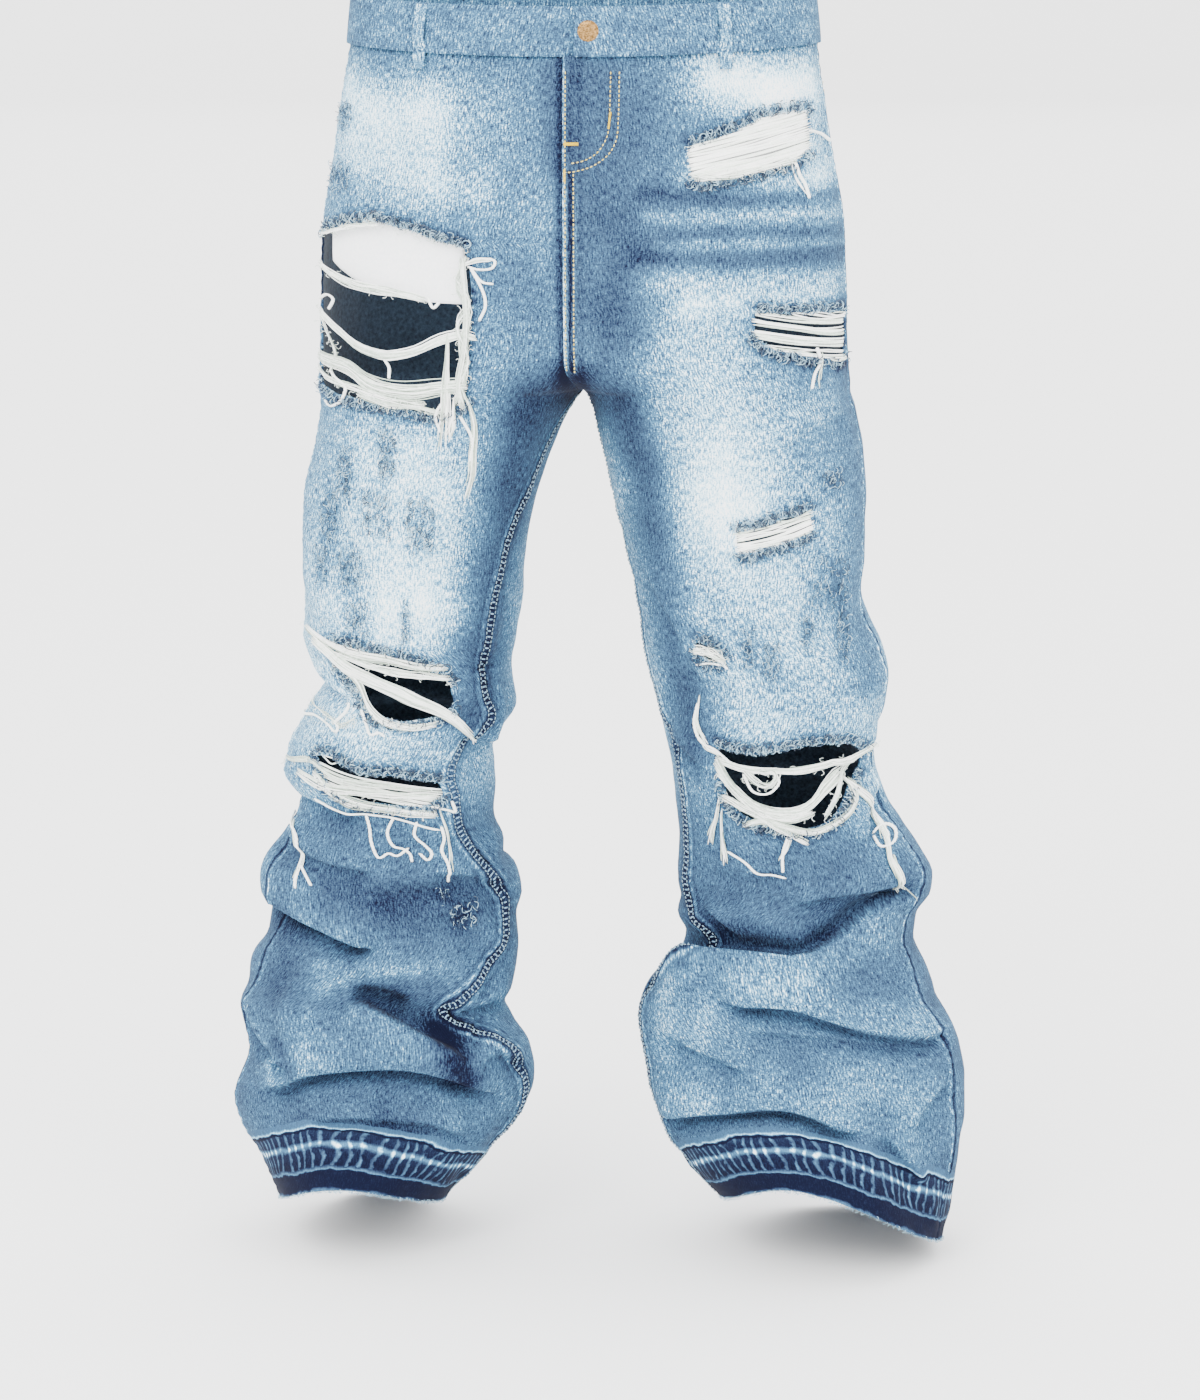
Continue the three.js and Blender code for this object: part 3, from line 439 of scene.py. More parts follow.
# Rubbed spots where short warp ends stand up: leg, distance, height, width, height, number
ABRASIONS = [
    ("right", 182, -74, 16, 18, 40), ("right", 188, -122, 24, 22, 50),
    ("right", 142, -330, 14, 38, 60), ("right", 178, -348, 12, 40, 50), ("right", 152, -378, 22, 36, 70),
    ("right", 118, -388, 22, 42, 80), ("right", 194, -385, 14, 34, 45), ("right", 176, -424, 20, 30, 50),
    ("right", 200, -420, 12, 30, 30), ("right", 168, -462, 18, 26, 40), ("right", 130, -462, 6, 28, 20),
    ("left", 200, -352, 14, 12, 24), ("left", 198, -430, 26, 40, 60), ("left", 182, -468, 8, 24, 20),
    ("left", 136, -480, 8, 32, 24), ("left", 154, -490, 12, 28, 30), ("left", 208, -474, 10, 36, 34),
    ("right", 105, -690, 8, 8, 8), ("right", 92, -705, 22, 20, 22),
]


def wash_and_shade_of(leg, place, angle, z, height):
    """How light the cloth is, from 0, raw indigo, to 1, nearly white: its fading, plus painted shade and
    painted highlight from the folds and from some strokes.
    """
    tones = np.array(WASH_BY_HEIGHT[::-1], float)
    wash_and_shade = np.interp(z, tones[:, 0], tones[:, 1])
    front = smooth(0.15, -0.35, np.sin(np.radians(angle)))
    wash_and_shade -= 0.07 * (1 - front) * smooth(-560, -300, z)
    flat = np.stack([place[..., 0], place[..., 2]], axis=-1).reshape(-1, 2)
    marks = np.zeros(len(flat))
    for route, wide, strength in STROKES:
        if (np.mean([x for x, _ in route]) < 0) != (leg == "right"):
            continue
        length = np.abs(np.diff(np.array(route, float), axis=0)).sum()
        line = spread(route, int(8 + 1.6 * length / wide))
        gap = np.sqrt(((flat[:, None] - line[None]) ** 2).sum(-1)).min(1)
        marks += strength * np.exp(-(gap / wide) ** 2)
    wash_and_shade += marks.reshape(wash_and_shade.shape) * (0.25 + 0.75 * front)
    # Partly real crease fading and partly painted light: swells and ridges are painted lighter, and hollows and
    # the cloth under a lip darker, as shade would fall.
    wash_and_shade += np.clip(height, -11, 9) * 0.016
    wash_and_shade += (0.035 * noise(place[..., 0] / 22 + 40, z / 30, 21)
             + 0.025 * noise(place[..., 0] / 7 + 9, z / 30, 22))
    for spot_leg, x, spot_z, wide, tall, _ in ABRASIONS:
        if spot_leg == leg:
            off = ((place[..., 0] * SIDE[leg] - x) / (0.6 * wide)) ** 2 + ((z - spot_z) / (0.6 * tall)) ** 2
            wash_and_shade -= 0.20 * np.exp(-off) * (1 + 0.6 * noise(place[..., 0] / 5, z / 8, 27)) * front
    return wash_and_shade


# ---------------------------------------------------------------------------------- materials
def linear(hex_colour):
    """Linear RGBA of an sRGB hex colour."""
    parts = [int(hex_colour[i:i + 2], 16) / 255 for i in (1, 3, 5)]
    return [p / 12.92 if p <= 0.04045 else ((p + 0.055) / 1.055) ** 2.4 for p in parts] + [1.0]


def add(tree, kind, sockets=None, **settings):
    """A node with its settings, socket values and links: a socket that is given a node's output is
    linked to it."""
    made = tree.nodes.new(kind)
    for name, value in settings.items():
        setattr(made, name, value)
    for name, value in (sockets or {}).items():
        if isinstance(value, bpy.types.NodeSocket):
            tree.links.new(value, made.inputs[name])
        else:
            made.inputs[name].default_value = value
    return made


def ramp(tree, factor, stops):
    """A colour ramp through hex colours or grey values."""
    made = add(tree, "ShaderNodeValToRGB", {0: factor})
    band = made.color_ramp
    while len(band.elements) < len(stops):
        band.elements.new(0.5)
    for element, (at, colour) in zip(band.elements, stops):
        element.position = at
        element.color = linear(colour) if isinstance(colour, str) else (colour, colour, colour, 1)
    return made.outputs[0]


def maths(tree, operation, *values, clamp=False):
    made = add(tree, "ShaderNodeMath", dict(enumerate(values)), operation=operation, use_clamp=clamp)
    return made.outputs[0]


def centred(tree, value):
    return maths(tree, "SUBTRACT", value, 0.5)


def speckle(tree, at, scale, detail, roughness=0.5):
    """A noise texture's grey value."""
    return add(tree, "ShaderNodeTexNoise", {"Vector": at, "Scale": scale, "Detail": detail,
                                            "Roughness": roughness}).outputs[0]


def vector(tree, x, y, z):
    return add(tree, "ShaderNodeCombineXYZ", {"X": x, "Y": y, "Z": z}).outputs[0]


def finish_surface(tree, surface, tone, stops, height, strength, distance):
    """Colours a surface by a ramp over its tone, and embosses it."""
    tree.links.new(ramp(tree, tone, stops), surface.inputs["Base Color"])
    bump = add(tree, "ShaderNodeBump", {"Height": height, "Strength": strength, "Distance": distance})
    tree.links.new(bump.outputs[0], surface.inputs["Normal"])


def new_material(name, sockets):
    """A node material and its shader, with the sockets that are the same all over."""
    material = bpy.data.materials.new(name)
    material.use_nodes = True
    tree = material.node_tree
    surface = tree.nodes["Principled BSDF"]
    for socket, value in sockets.items():
        surface.inputs[socket].default_value = value
    return material, tree, surface


# Faded ring-spun denim, dyed blue in the warp and washed pale: the steps run from raw indigo to
# cloth rubbed nearly white.
WASH_STEPS = [(0.0, "#0B0E20"), (0.12, "#161D33"), (0.24, "#26354A"), (0.36, "#31445A"), (0.48, "#365672"),
              (0.60, "#456F8C"), (0.70, "#5F8FAC"), (0.80, "#8BBAD5"), (0.90, "#C7E6F2"), (1.0, "#F4F8FA")]
GRAIN = 820                # salt-and-pepper grain per metre, as coarse as it needs to show
SLUB_ACROSS = 850          # thick and thin warp yarns, drawn coarser than the real 0.5 mm
SLUB_ALONG = 210
SLUB_SHARE = 1.25          # how much the yarns, and the broad clouds, change the tone; grain is 1
CLOUD = 90.0
CLOUD_SHARE = 0.22
TWILL_PITCH = 0.0021       # twill line spacing in metres, drawn coarser than the real 1 mm
TWILL_TURN = math.radians(32)


def denim_material(name, hem=False):
    """Washed twill denim, matt with a soft bloom; at a hem it is the raw, let-down strip."""
    material, tree, surface = new_material(name, {
        "Roughness": 0.92, "Sheen Weight": 0.02, "Sheen Roughness": 0.5, "Specular IOR Level": 0.04})
    uv = add(tree, "ShaderNodeUVMap", uv_map="cut").outputs[0]
    wash_and_shade = add(tree, "ShaderNodeAttribute", attribute_name="wash_and_shade").outputs["Fac"]
    stretched = add(tree, "ShaderNodeMapping", {"Vector": uv, "Scale": (SLUB_ACROSS, SLUB_ALONG, 1)}).outputs[0]
    slub = speckle(tree, stretched, 1.0, 1.0)
    grain = speckle(tree, uv, GRAIN, 1.0, 0.6)
    cloud = speckle(tree, uv, CLOUD, 2.0)
    mottle = maths(tree, "MULTIPLY_ADD", centred(tree, slub), SLUB_SHARE, centred(tree, grain))
    mottle = maths(tree, "MULTIPLY_ADD", centred(tree, cloud), CLOUD_SHARE, mottle)
    calmer, darker = (add(tree, "ShaderNodeMapRange", {
        "Value": wash_and_shade, "From Min": low, "From Max": high, "To Min": at_low, "To Max": at_high}).outputs[0]
        for low, high, at_low, at_high in ((0.70, 0.95, 1.0, 0.4), (0.35, 0.60, 0.66, 1.0)))
    mottle = maths(tree, "MULTIPLY", mottle, maths(tree, "MULTIPLY", calmer, darker))
    tone = maths(tree, "ADD", wash_and_shade, mottle)
    if hem:
        tone = hem_tone(tree, tone, mottle)
    turned = add(tree, "ShaderNodeMapping", {"Vector": uv, "Rotation": (0, 0, TWILL_TURN)}).outputs[0]
    twill = add(tree, "ShaderNodeTexWave", {"Vector": turned, "Scale": 0.314 / TWILL_PITCH, "Distortion": 1.5,
                                            "Detail": 1.0}, wave_type="BANDS").outputs["Fac"]
    relief = maths(tree, "MULTIPLY_ADD", twill, 0.35, maths(tree, "ADD", slub, grain))
    finish_surface(tree, surface, tone, WASH_STEPS, relief, 0.35, 0.0005)
    return material


# Bands of the let-down hem in metres above its raw edge, and the tone of each
HEM_BANDS = [(0.0, 0.50), (0.0012, 0.30), (0.0026, 0.0), (0.0160, 0.0), (0.0172, 0.60), (0.0190, 0.24),
             (0.0205, 0.0), (0.0335, 0.08), (0.0364, 0.56), (0.0380, 0.56), (0.0404, 0.06), (0.0478, 0.12),
             (0.0488, 0.0), (0.0504, 0.0), (0.0518, 0.84), (0.0540, 0.44)]
HEM_HEIGHT = 0.058
STREAK_PITCH = 0.0084      # of the whitish streaks round the leg, and the heights between which they run
STREAKS_FROM, STREAKS_TO = 0.0198, 0.0488


def hem_tone(tree, tone, mottle):
    """Rows of dark blobs between whitish streaks, where the old hem was folded and sewn."""
    at = add(tree, "ShaderNodeUVMap", uv_map="hem").outputs[0]
    place = add(tree, "ShaderNodeSeparateXYZ", {0: at})
    drift = centred(tree, speckle(tree, at, 28.0, 1.0))
    wobble = centred(tree, speckle(tree, at, 130.0, 2.0))
    above = maths(tree, "MULTIPLY_ADD", wobble, 0.0045,
                  maths(tree, "MULTIPLY_ADD", drift, 0.006, place.outputs["Y"]))
    share = maths(tree, "DIVIDE", above, HEM_HEIGHT, clamp=True)
    band = ramp(tree, share, [(level / HEM_HEIGHT, value) for level, value in HEM_BANDS])
    across = maths(tree, "MULTIPLY_ADD", drift, 0.022,
                   maths(tree, "MULTIPLY_ADD", wobble, 0.006, place.outputs["X"]))
    beat = maths(tree, "SINE", maths(tree, "MULTIPLY", across, 2 * math.pi / STREAK_PITCH))
    uneven = maths(tree, "MULTIPLY_ADD", wobble, 2.2, maths(tree, "SUBTRACT", beat, 0.25))
    streak = maths(tree, "MULTIPLY", uneven, 0.75, clamp=True)
    rows = maths(tree, "MULTIPLY", maths(tree, "GREATER_THAN", above, STREAKS_FROM),
                 maths(tree, "LESS_THAN", above, STREAKS_TO))
    ladder = maths(tree, "MULTIPLY_ADD", maths(tree, "MULTIPLY", streak, rows), 0.62, band)
    ladder = maths(tree, "MULTIPLY_ADD", mottle, 0.35, ladder)
    in_hem = maths(tree, "LESS_THAN", above, HEM_HEIGHT)
    return add(tree, "ShaderNodeMix", {"Factor": in_hem, "A": tone, "B": ladder}, data_type="FLOAT").outputs[0]


MATT_COTTON = {"Roughness": 0.95, "Sheen Weight": 0.2, "Specular IOR Level": 0.2}


def cotton(name, light, dark, scale, rough=0.95, relief=0.4):
    """Undyed or dyed cotton yarn or plain cloth: matt, with lighter and darker fibres."""
    material, tree, surface = new_material(name, MATT_COTTON | {"Roughness": rough})
    fibres = speckle(tree, add(tree, "ShaderNodeTexCoord").outputs["Object"], float(scale), 3.0, 0.7)
    finish_surface(tree, surface, fibres, [(0.3, dark), (0.7, light)], fibres, relief, 0.0004)
    return material


def aged_brass(name):
    """Brass that has dulled in wear: darker in its hollows, soft gloss."""
    material, tree, surface = new_material(name, {"Metallic": 1.0, "Roughness": 0.42})
    stain = speckle(tree, add(tree, "ShaderNodeTexCoord").outputs["Object"], 700.0, 3.0)
    tree.links.new(ramp(tree, stain, [(0.35, "#5B4326"), (0.65, "#A98452")]), surface.inputs["Base Color"])
    return material


def loose_yarn(name):
    """Undyed cotton weft pulled out of the cloth: white, with a greyer green painted shade given per yarn by
    its attribute.
    """
    material, tree, surface = new_material(name, MATT_COTTON)
    fibres = speckle(tree, add(tree, "ShaderNodeTexCoord").outputs["Object"], 420.0, 2.0)
    painted_shade_tone = add(tree, "ShaderNodeAttribute", attribute_name="painted_shade_tone").outputs["Fac"]
    shade = maths(tree, "MULTIPLY_ADD", centred(tree, fibres), 0.5, painted_shade_tone)
    steps = [(0.0, "#8A978A"), (0.28, "#C2D0C2"), (0.55, "#EEF5EC"), (0.8, "#FEFFFC")]
    finish_surface(tree, surface, shade, steps, fibres, 0.4, 0.0003)
    return material


DENIM_CLOTH = denim_material("washed_twill_denim")
DENIM_HEM = denim_material("washed_twill_denim_with_raw_hem", hem=True)
# The cloth's reverse, painted far darker than real pale denim reverse, so that it stands in for the shade
# inside the hollow legs.
DENIM_REVERSE_PAINTED_DARK = cotton("denim_reverse_darkened_for_shade", "#46586B", "#262E3C", 330)
WEFT = loose_yarn("undyed_weft_yarn")
FLUFF = cotton("white_yarn_fluff", "#FBFFFB", "#BFCDC0", 300)
WARP_FRAY = cotton("frayed_blue_warp_yarn", "#C3E4F0", "#4A7798", 260)
DARK_FRAY = cotton("rubbed_indigo_warp_yarn", "#2C4763", "#141F30", 200)
POCKETING = cotton("bleached_pocket_cotton", "#FBFBFC", "#EDEFF2", 380, 0.9, 0.2)
CREAM_THREAD = cotton("cream_topstitch_thread", "#E6D27C", "#BCA74E", 300)
PALE_THREAD = cotton("faded_seam_thread", "#8FA9B5", "#5B7484", 300)
YELLOW_THREAD = cotton("yellow_topstitch_thread", "#DDBB10", "#BE9A00", 300)
SEAM_RIDGE = cotton("rubbed_seam_ridges", "#8DB4CE", "#4A6F8F", 300)
BRASS = aged_brass("aged_brass")


# ---------------------------------------------------------------------------------- meshes
def placed(name, data):
    """A new object in the scene."""
    made = bpy.data.objects.new(name, data)
    bpy.context.scene.collection.objects.link(made)
    return made


def soften(mesh):
    mesh.polygons.foreach_set("use_smooth", np.ones(len(mesh.polygons), bool))


def mesh_object(name, points, faces, material, uvs=None, values=None):
    """An object from points in mm, with per-point UV maps and float attributes."""
    mesh = bpy.data.meshes.new(name)
    mesh.from_pydata((np.asarray(points) * MM).tolist(), [], faces)
    loops = np.empty(len(mesh.loops), np.int32)
    mesh.loops.foreach_get("vertex_index", loops)
    for map_name, uv in (uvs or {}).items():
        mesh.uv_layers.new(name=map_name).data.foreach_set("uv", uv[loops].astype(np.float32).ravel())
    for key, value in (values or {}).items():
        mesh.attributes.new(key, "FLOAT", "POINT").data.foreach_set("value", value.astype(np.float32))
    soften(mesh)
    mesh.materials.append(material)
    return placed(name, mesh)


def given_wall(piece, thickness, inside=None):
    """Turns a sheet whose faces point out into a closed wall, its back in the cloth's reverse."""
    wall = piece.modifiers.new("wall", "SOLIDIFY")
    wall.thickness = thickness * MM
    wall.offset = -1
    wall.use_even_offset = False
    if inside is not None:
        piece.data.materials.append(inside)
        wall.material_offset = 1
    return piece


def grid_faces(rows, columns, flip):
    r, c = np.meshgrid(np.arange(rows - 1), np.arange(columns - 1), indexing="ij")
    a = (r * columns + c).ravel()
    quad = np.stack([a, a + columns, a + columns + 1, a + 1], axis=1)
    return quad[:, ::-1] if flip else quad


def inside(outline, x, z):
    """Which points lie inside an outline."""
    hit = np.zeros(np.shape(x), bool)
    for (x0, z0), (x1, z1) in zip(outline, np.roll(outline, -1, axis=0)):
        crosses = (z0 > z) != (z1 > z)
        hit ^= crosses & (x < (x1 - x0) * (z - z0) / (z1 - z0 + 1e-12) + x0)
    return hit


# ---------------------------------------------------------------------------------- rips
# [distance, height] outlines seen from the front. Distances run from the centre plane outwards.
RIPS = {
    "thigh": ("right", [
        (206, -168), (190, -161), (172, -156), (153, -154), (136, -157), (120, -160), (104, -166),
        (90, -170), (80, -173), (76, -190), (74, -211), (76, -235), (78, -260), (80, -286), (90, -296),
        (105, -299), (120, -297), (133, -293), (148, -292), (165, -290), (186, -288), (202, -282),
        (206, -262), (205, -230), (207, -200),
    ]),
    "knee_right": ("right", [
        (190, -482), (176, -484), (157, -488), (139, -491), (122, -498), (104, -504), (97, -514),
        (95, -528), (104, -537), (119, -540), (134, -542), (150, -539), (163, -534), (168, -520),
        (176, -506), (188, -496),
    ]),
    "knee_right_low": ("right", [
        (205, -573), (192, -572), (180, -580), (166, -585), (146, -586), (127, -589), (109, -592),
        (106, -604), (118, -611), (140, -612), (160, -610), (178, -604), (196, -592),
    ]),
    "knee_left": ("left", [
        (112, -561), (126, -562), (138, -563), (152, -562), (166, -560), (182, -557), (199, -556),
        (214, -557), (226, -566), (222, -582), (212, -600), (203, -616), (190, -624), (175, -626),
        (158, -624), (140, -619), (126, -610), (118, -596), (113, -580),
    ]),
    "pocket": ("left", [
        (91, -93), (101, -91), (112, -86), (124, -82), (133, -76), (142, -72), (158, -70), (175, -68),
        (178, -82), (179, -97), (167, -108), (150, -111), (134, -115), (118, -117), (102, -120),
        (92, -119), (90, -106),
    ]),
    "hip": ("left", [
        (139, -220), (156, -222), (172, -223), (190, -224), (205, -224), (206, -244), (205, -262),
        (190, -259), (179, -256), (168, -253), (158, -251), (147, -246), (138, -236),
    ]),
    "thigh_left": ("left", [
        (126, -389), (140, -386), (157, -381), (170, -377), (183, -373), (186, -388), (174, -393),
        (162, -398), (146, -402), (129, -406),
    ]),
    "nick_left": ("left", [
        (96, -474), (104, -477), (112, -481), (117, -488), (112, -492), (103, -488), (97, -482),
    ]),
}
RAGGED = 1.3               # how far a torn edge wanders


def ragged(name):
    """A rip's outline with torn, wandering sides."""
    _, outline = RIPS[name]
    line = spread(np.array(outline + outline[:1], float), 4 * len(outline) + 1)[:-1]
    seed = sum(map(ord, name))
    k = np.arange(len(line))
    shift = np.stack([noise(k / 1.7, k * 0 + 0.5, seed), noise(k / 1.7, k * 0 + 7.5, seed)], axis=1)
    return line + RAGGED * shift


TORN = {name: ragged(name) for name in RIPS}


def near_rip(edge, x, z, reach):
    """Which points lie within reach of a rip's box."""
    return ((x > edge[:, 0].min() - reach) & (x < edge[:, 0].max() + reach)
            & (z > edge[:, 1].min() - reach) & (z < edge[:, 1].max() + reach))


def torn_grid(leg, angle, z):
    """Cuts this leg's rips out of a grid: moves its points to the torn edges, and says which of the
    grid's cells stay."""
    x = body(leg, angle, z)[..., 0] * SIDE[leg]
    front = np.sin(np.radians(angle)) < 0.08
    keep = np.ones((angle.shape[0] - 1, angle.shape[1] - 1), bool)
    for name, (rip_leg, _) in RIPS.items():
        if rip_leg != leg:
            continue
        edge = TORN[name]
        if not (near_rip(edge, x, z, 12) & front).any():
            continue
        mid = lambda a: (a[1:, 1:] + a[:-1, 1:] + a[1:, :-1] + a[:-1, :-1]) / 4
        gone = inside(edge, mid(x), mid(z)) & mid(front.astype(float)).astype(bool)
        keep &= ~gone
        touched = np.zeros(angle.shape, int)
        whole = np.zeros(angle.shape, int)
        for dr in (0, 1):
            for dc in (0, 1):
                view = (slice(dr, dr + keep.shape[0]), slice(dc, dc + keep.shape[1]))
                touched[view] += gone
                whole[view] += 1
        rim = (touched > 0) & (touched < whole)
        closed = np.concatenate([edge, edge[:1]])
        for r, c in zip(*np.nonzero(rim)):
            p = np.array([x[r, c], z[r, c]])
            a, b = closed[:-1], closed[1:]
            t = np.clip(((p - a) * (b - a)).sum(1) / ((b - a) ** 2).sum(1), 0, 1)
            q = a + t[:, None] * (b - a)
            q = q[np.argmin(((q - p) ** 2).sum(1))]
            z[r, c] = q[1]
            angle[r, c] = angle_at(leg, q[0], q[1])
    return keep


# ---------------------------------------------------------------------------------- cloth panels
def even_heights(leg, top, bottom, at, cell, low_cell=None):
    """Row heights from top to bottom, so that no row is far from the next one."""
    z = np.arange(top, bottom - 0.01, -0.4)
    z[-1] = bottom
    run = np.zeros(len(z) - 1)
    for pick in at:
        run = np.maximum(run, np.linalg.norm(np.diff(body(leg, pick(z), z), axis=0), axis=1))
    size = cell + ((low_cell or cell) - cell) * smooth(SHIN_TOP, SHIN_TOP - 40, z[1:])
    total = np.concatenate([[0], np.cumsum(run / size)])
    return np.interp(np.linspace(0, total[-1], int(total[-1]) + 2), total, z)


def cut_map(points, origin=None):
    """Flat coordinates in metres: across from one column, the middle one unless told, and along it."""
    across = np.linalg.norm(np.diff(points, axis=1), axis=2).cumsum(axis=1)
    across = np.concatenate([np.zeros((len(points), 1)), across], axis=1)
    middle = points.shape[1] // 2 if origin is None else origin
    across = across - across[:, [middle]]
    along = -length_along(points[:, middle])
    return np.stack([across, np.broadcast_to(along[:, None], across.shape)], axis=-1) * MM


def hem_map(points):
    """Coordinates in metres of the let-down hem: round the leg, and above the raw edge."""
    up = np.linalg.norm(np.diff(points, axis=0), axis=2)[::-1].cumsum(axis=0)[::-1]
    up = np.concatenate([up, np.zeros((1, points.shape[1]))])
    return np.stack([np.broadcast_to(length_along(points[-1]), up.shape), up], axis=-1) * MM


SEAM_RELIEF = {leg: [] for leg in SIDE}        # lines with a raised, puckered felled seam along them


def seam_relief(leg, points, normals):
    """How far the felled seams stand out, and how much lighter their rubbed puckers are."""
    flat_points, flat_normals = points.reshape(-1, 3), normals.reshape(-1, 3)
    rise, rub = np.zeros(len(flat_points)), np.zeros(len(flat_points))
    for line, half, length in SEAM_RELIEF[leg]:
        low, high = line.min(0) - 30, line.max(0) + 30
        near = np.flatnonzero(((flat_points > low) & (flat_points < high)).all(1))
        if not len(near):
            continue
        q, share = beside(flat_points[near], flat_normals[near], line)
        q = np.abs(q)
        run = share * length
        pucker = np.sin(run * 2 * math.pi / 9 + 2.0 * noise(run / 23, run * 0, 31))
        rise[near] += smooth(half + 1.2, half - 0.8, q) * 0.8 + pucker * 0.35 * np.exp(-(q / (half + 3)) ** 2)
        if half > 4:
            rub[near] += (
                pucker * 0.05 * np.exp(-(q / (half + 2)) ** 2) - 0.30 * smooth(half, half - 2, q)
                + 0.20 * np.exp(-((q - half - 0.4) / 1.4) ** 2) - 0.10 * np.exp(-((q - half - 4) / 2.0) ** 2))
        else:
            rub[near] += 0.16 * np.exp(-((q - 2.8) / 1.5) ** 2) - 0.36 * np.exp(-(q / 1.4) ** 2)
    return rise.reshape(points.shape[:-1]), rub.reshape(points.shape[:-1])


FLY_LAP = 5.0              # how far the left front's fold laps over the right one
FLY_RISE = 3.0
FLY_FOLD = (13, 2)         # the fold stands proud from the first x, fully at the second
FLY_FOOT_FADE = (-292, -270)


def fly_wear_and_shadow(x, z, leg):
    """The folded edge of the fly is worn white; the darker strips on the cloth under and beside it are painted
    shadow of the lapped fold.
    """
    if leg == "right":
        return -0.34 * np.exp(-((x + 7) / 3.0) ** 2) * smooth(*FLY_FOOT_FADE, z)
    edge = 0.34 * np.exp(-((x + 4.6) / 1.1) ** 2) - 0.14 * np.exp(-((x - 1) / 3.0) ** 2)
    return (edge - 0.12 * np.exp(-((x - 7.5) / 2.2) ** 2)) * smooth(*FLY_FOOT_FADE, z)


def panel(name, leg, angle, z, out=0.0, hem=False, cell_keep=None, lighter=0.0):
    """A sewn piece of denim over the form, as a closed wall."""
    out = np.broadcast_to(np.asarray(out, float), angle.shape)
    plain = body(leg, angle, z)
    points, normals, height = folded(leg, angle, z)
    rise, rub = seam_relief(leg, plain, normals)
    points = points + normals * (out + rise)[..., None]
    wash_and_shade = wash_and_shade_of(leg, plain, angle, z, height) + rub + lighter
    if name.startswith("front"):
        wash_and_shade += fly_wear_and_shadow(plain[..., 0], z, leg)
    if cell_keep is not None:
        for rip_name, (rip_leg, _) in RIPS.items():
            if rip_leg == leg:
                wash_and_shade = rubbed_round(rip_name, leg, angle, z, wash_and_shade)
    rows, columns = angle.shape
    faces = grid_faces(rows, columns, flip=(leg == "right"))
    if cell_keep is not None:
        faces = faces[cell_keep.ravel()]
    flat = points.reshape(-1, 3)
    used = np.unique(faces)
    renumber = np.full(len(flat), -1)
    renumber[used] = np.arange(len(used))
    uvs = {"cut": cut_map(plain, -1 if name.startswith("front") else 0).reshape(-1, 2)[used]}
    if hem:
        uvs["hem"] = hem_map(points).reshape(-1, 2)[used]
    piece = mesh_object(name, flat[used], renumber[faces].tolist(), DENIM_HEM if hem else DENIM_CLOTH, uvs,
                        {"wash_and_shade": wash_and_shade.reshape(-1)[used]})
    return given_wall(piece, DENIM, DENIM_REVERSE_PAINTED_DARK)


def rubbed_round(name, leg, angle, z, wash_and_shade):
    """Deep blue cloth above and below a rip, where its warp still stands, and a pale torn rim."""
    edge = TORN[name]
    x = body(leg, angle, z)[..., 0] * SIDE[leg]
    spots = np.nonzero(near_rip(edge, x, z, 25) & (np.sin(np.radians(angle)) < 0.1))
    p = np.stack([x[spots], z[spots]], axis=1)
    off = p[:, None] - edge[None]
    distance = np.sqrt((off ** 2).sum(-1))
    nearest = distance.argmin(1)
    gap = distance.min(1)
    upright = np.abs(off[np.arange(len(p)), nearest, 1]) / np.maximum(gap, 0.5)
    uneven = 1 + noise(p[:, 0] / 4, p[:, 1] / 7, 5)
    wash_and_shade[spots] -= 0.30 * np.exp(-((gap - 3) / 5.5) ** 2) * uneven * smooth(0.3, 0.8, upright)
    wash_and_shade[spots] += 0.20 * np.exp(-(gap / 1.6) ** 2) * uneven
    return wash_and_shade


EDGE_SHARES = np.array([0, 0.002, 0.0045, 0.008, 0.0125, 0.018, 0.0255])     # columns close along a seam


def front_panel(leg):
    front_edge = lambda z: edges(leg, z)[0]
    outer_edge = lambda z: edges(leg, z)[2]
    heights = even_heights(leg, WAIST_SEAM, HEM[leg], (front_edge, outer_edge), CELL, SHIN_CELL)
    first, last = front_edge(heights), outer_edge(heights)
    if leg == "left":
        lap = angle_at(leg, CENTRE_GAP - FLY_LAP, heights)
        first = np.where(column(leg, "inner", heights) < CENTRE_GAP,
                         first + (lap - first) * smooth(-282, -262, heights), first)
    share = np.concatenate([EDGE_SHARES, np.linspace(0.034, 0.966, 88), 1 - EDGE_SHARES[::-1]])
    angle = first[:, None] + (last - first)[:, None] * share
    z = np.repeat(heights[:, None], len(share), axis=1)
    out = np.zeros(angle.shape)
    if leg == "left":
        x = body(leg, angle, z)[..., 0]
        out = FLY_RISE * smooth(*FLY_FOLD, x) * smooth(-290, -262, z)
    keep = torn_grid(leg, angle, z)
    return panel(f"front_{leg}_cloth", leg, angle, z, out, hem=True, cell_keep=keep)


def yoke_seam(t):
    return YOKE_AT_SIDE + (YOKE_AT_CENTRE - YOKE_AT_SIDE) * t


def back_rows(leg, top, bottom, count, columns):
    """Rows of the back between two height functions of the share from side to centre."""
    t = np.linspace(0, 1, columns)
    z = top(t)[None] + (bottom(t) - top(t))[None] * np.linspace(0, 1, count)[:, None]
    _, back, outer = edges(leg, z)
    return outer + (back - outer) * t, z


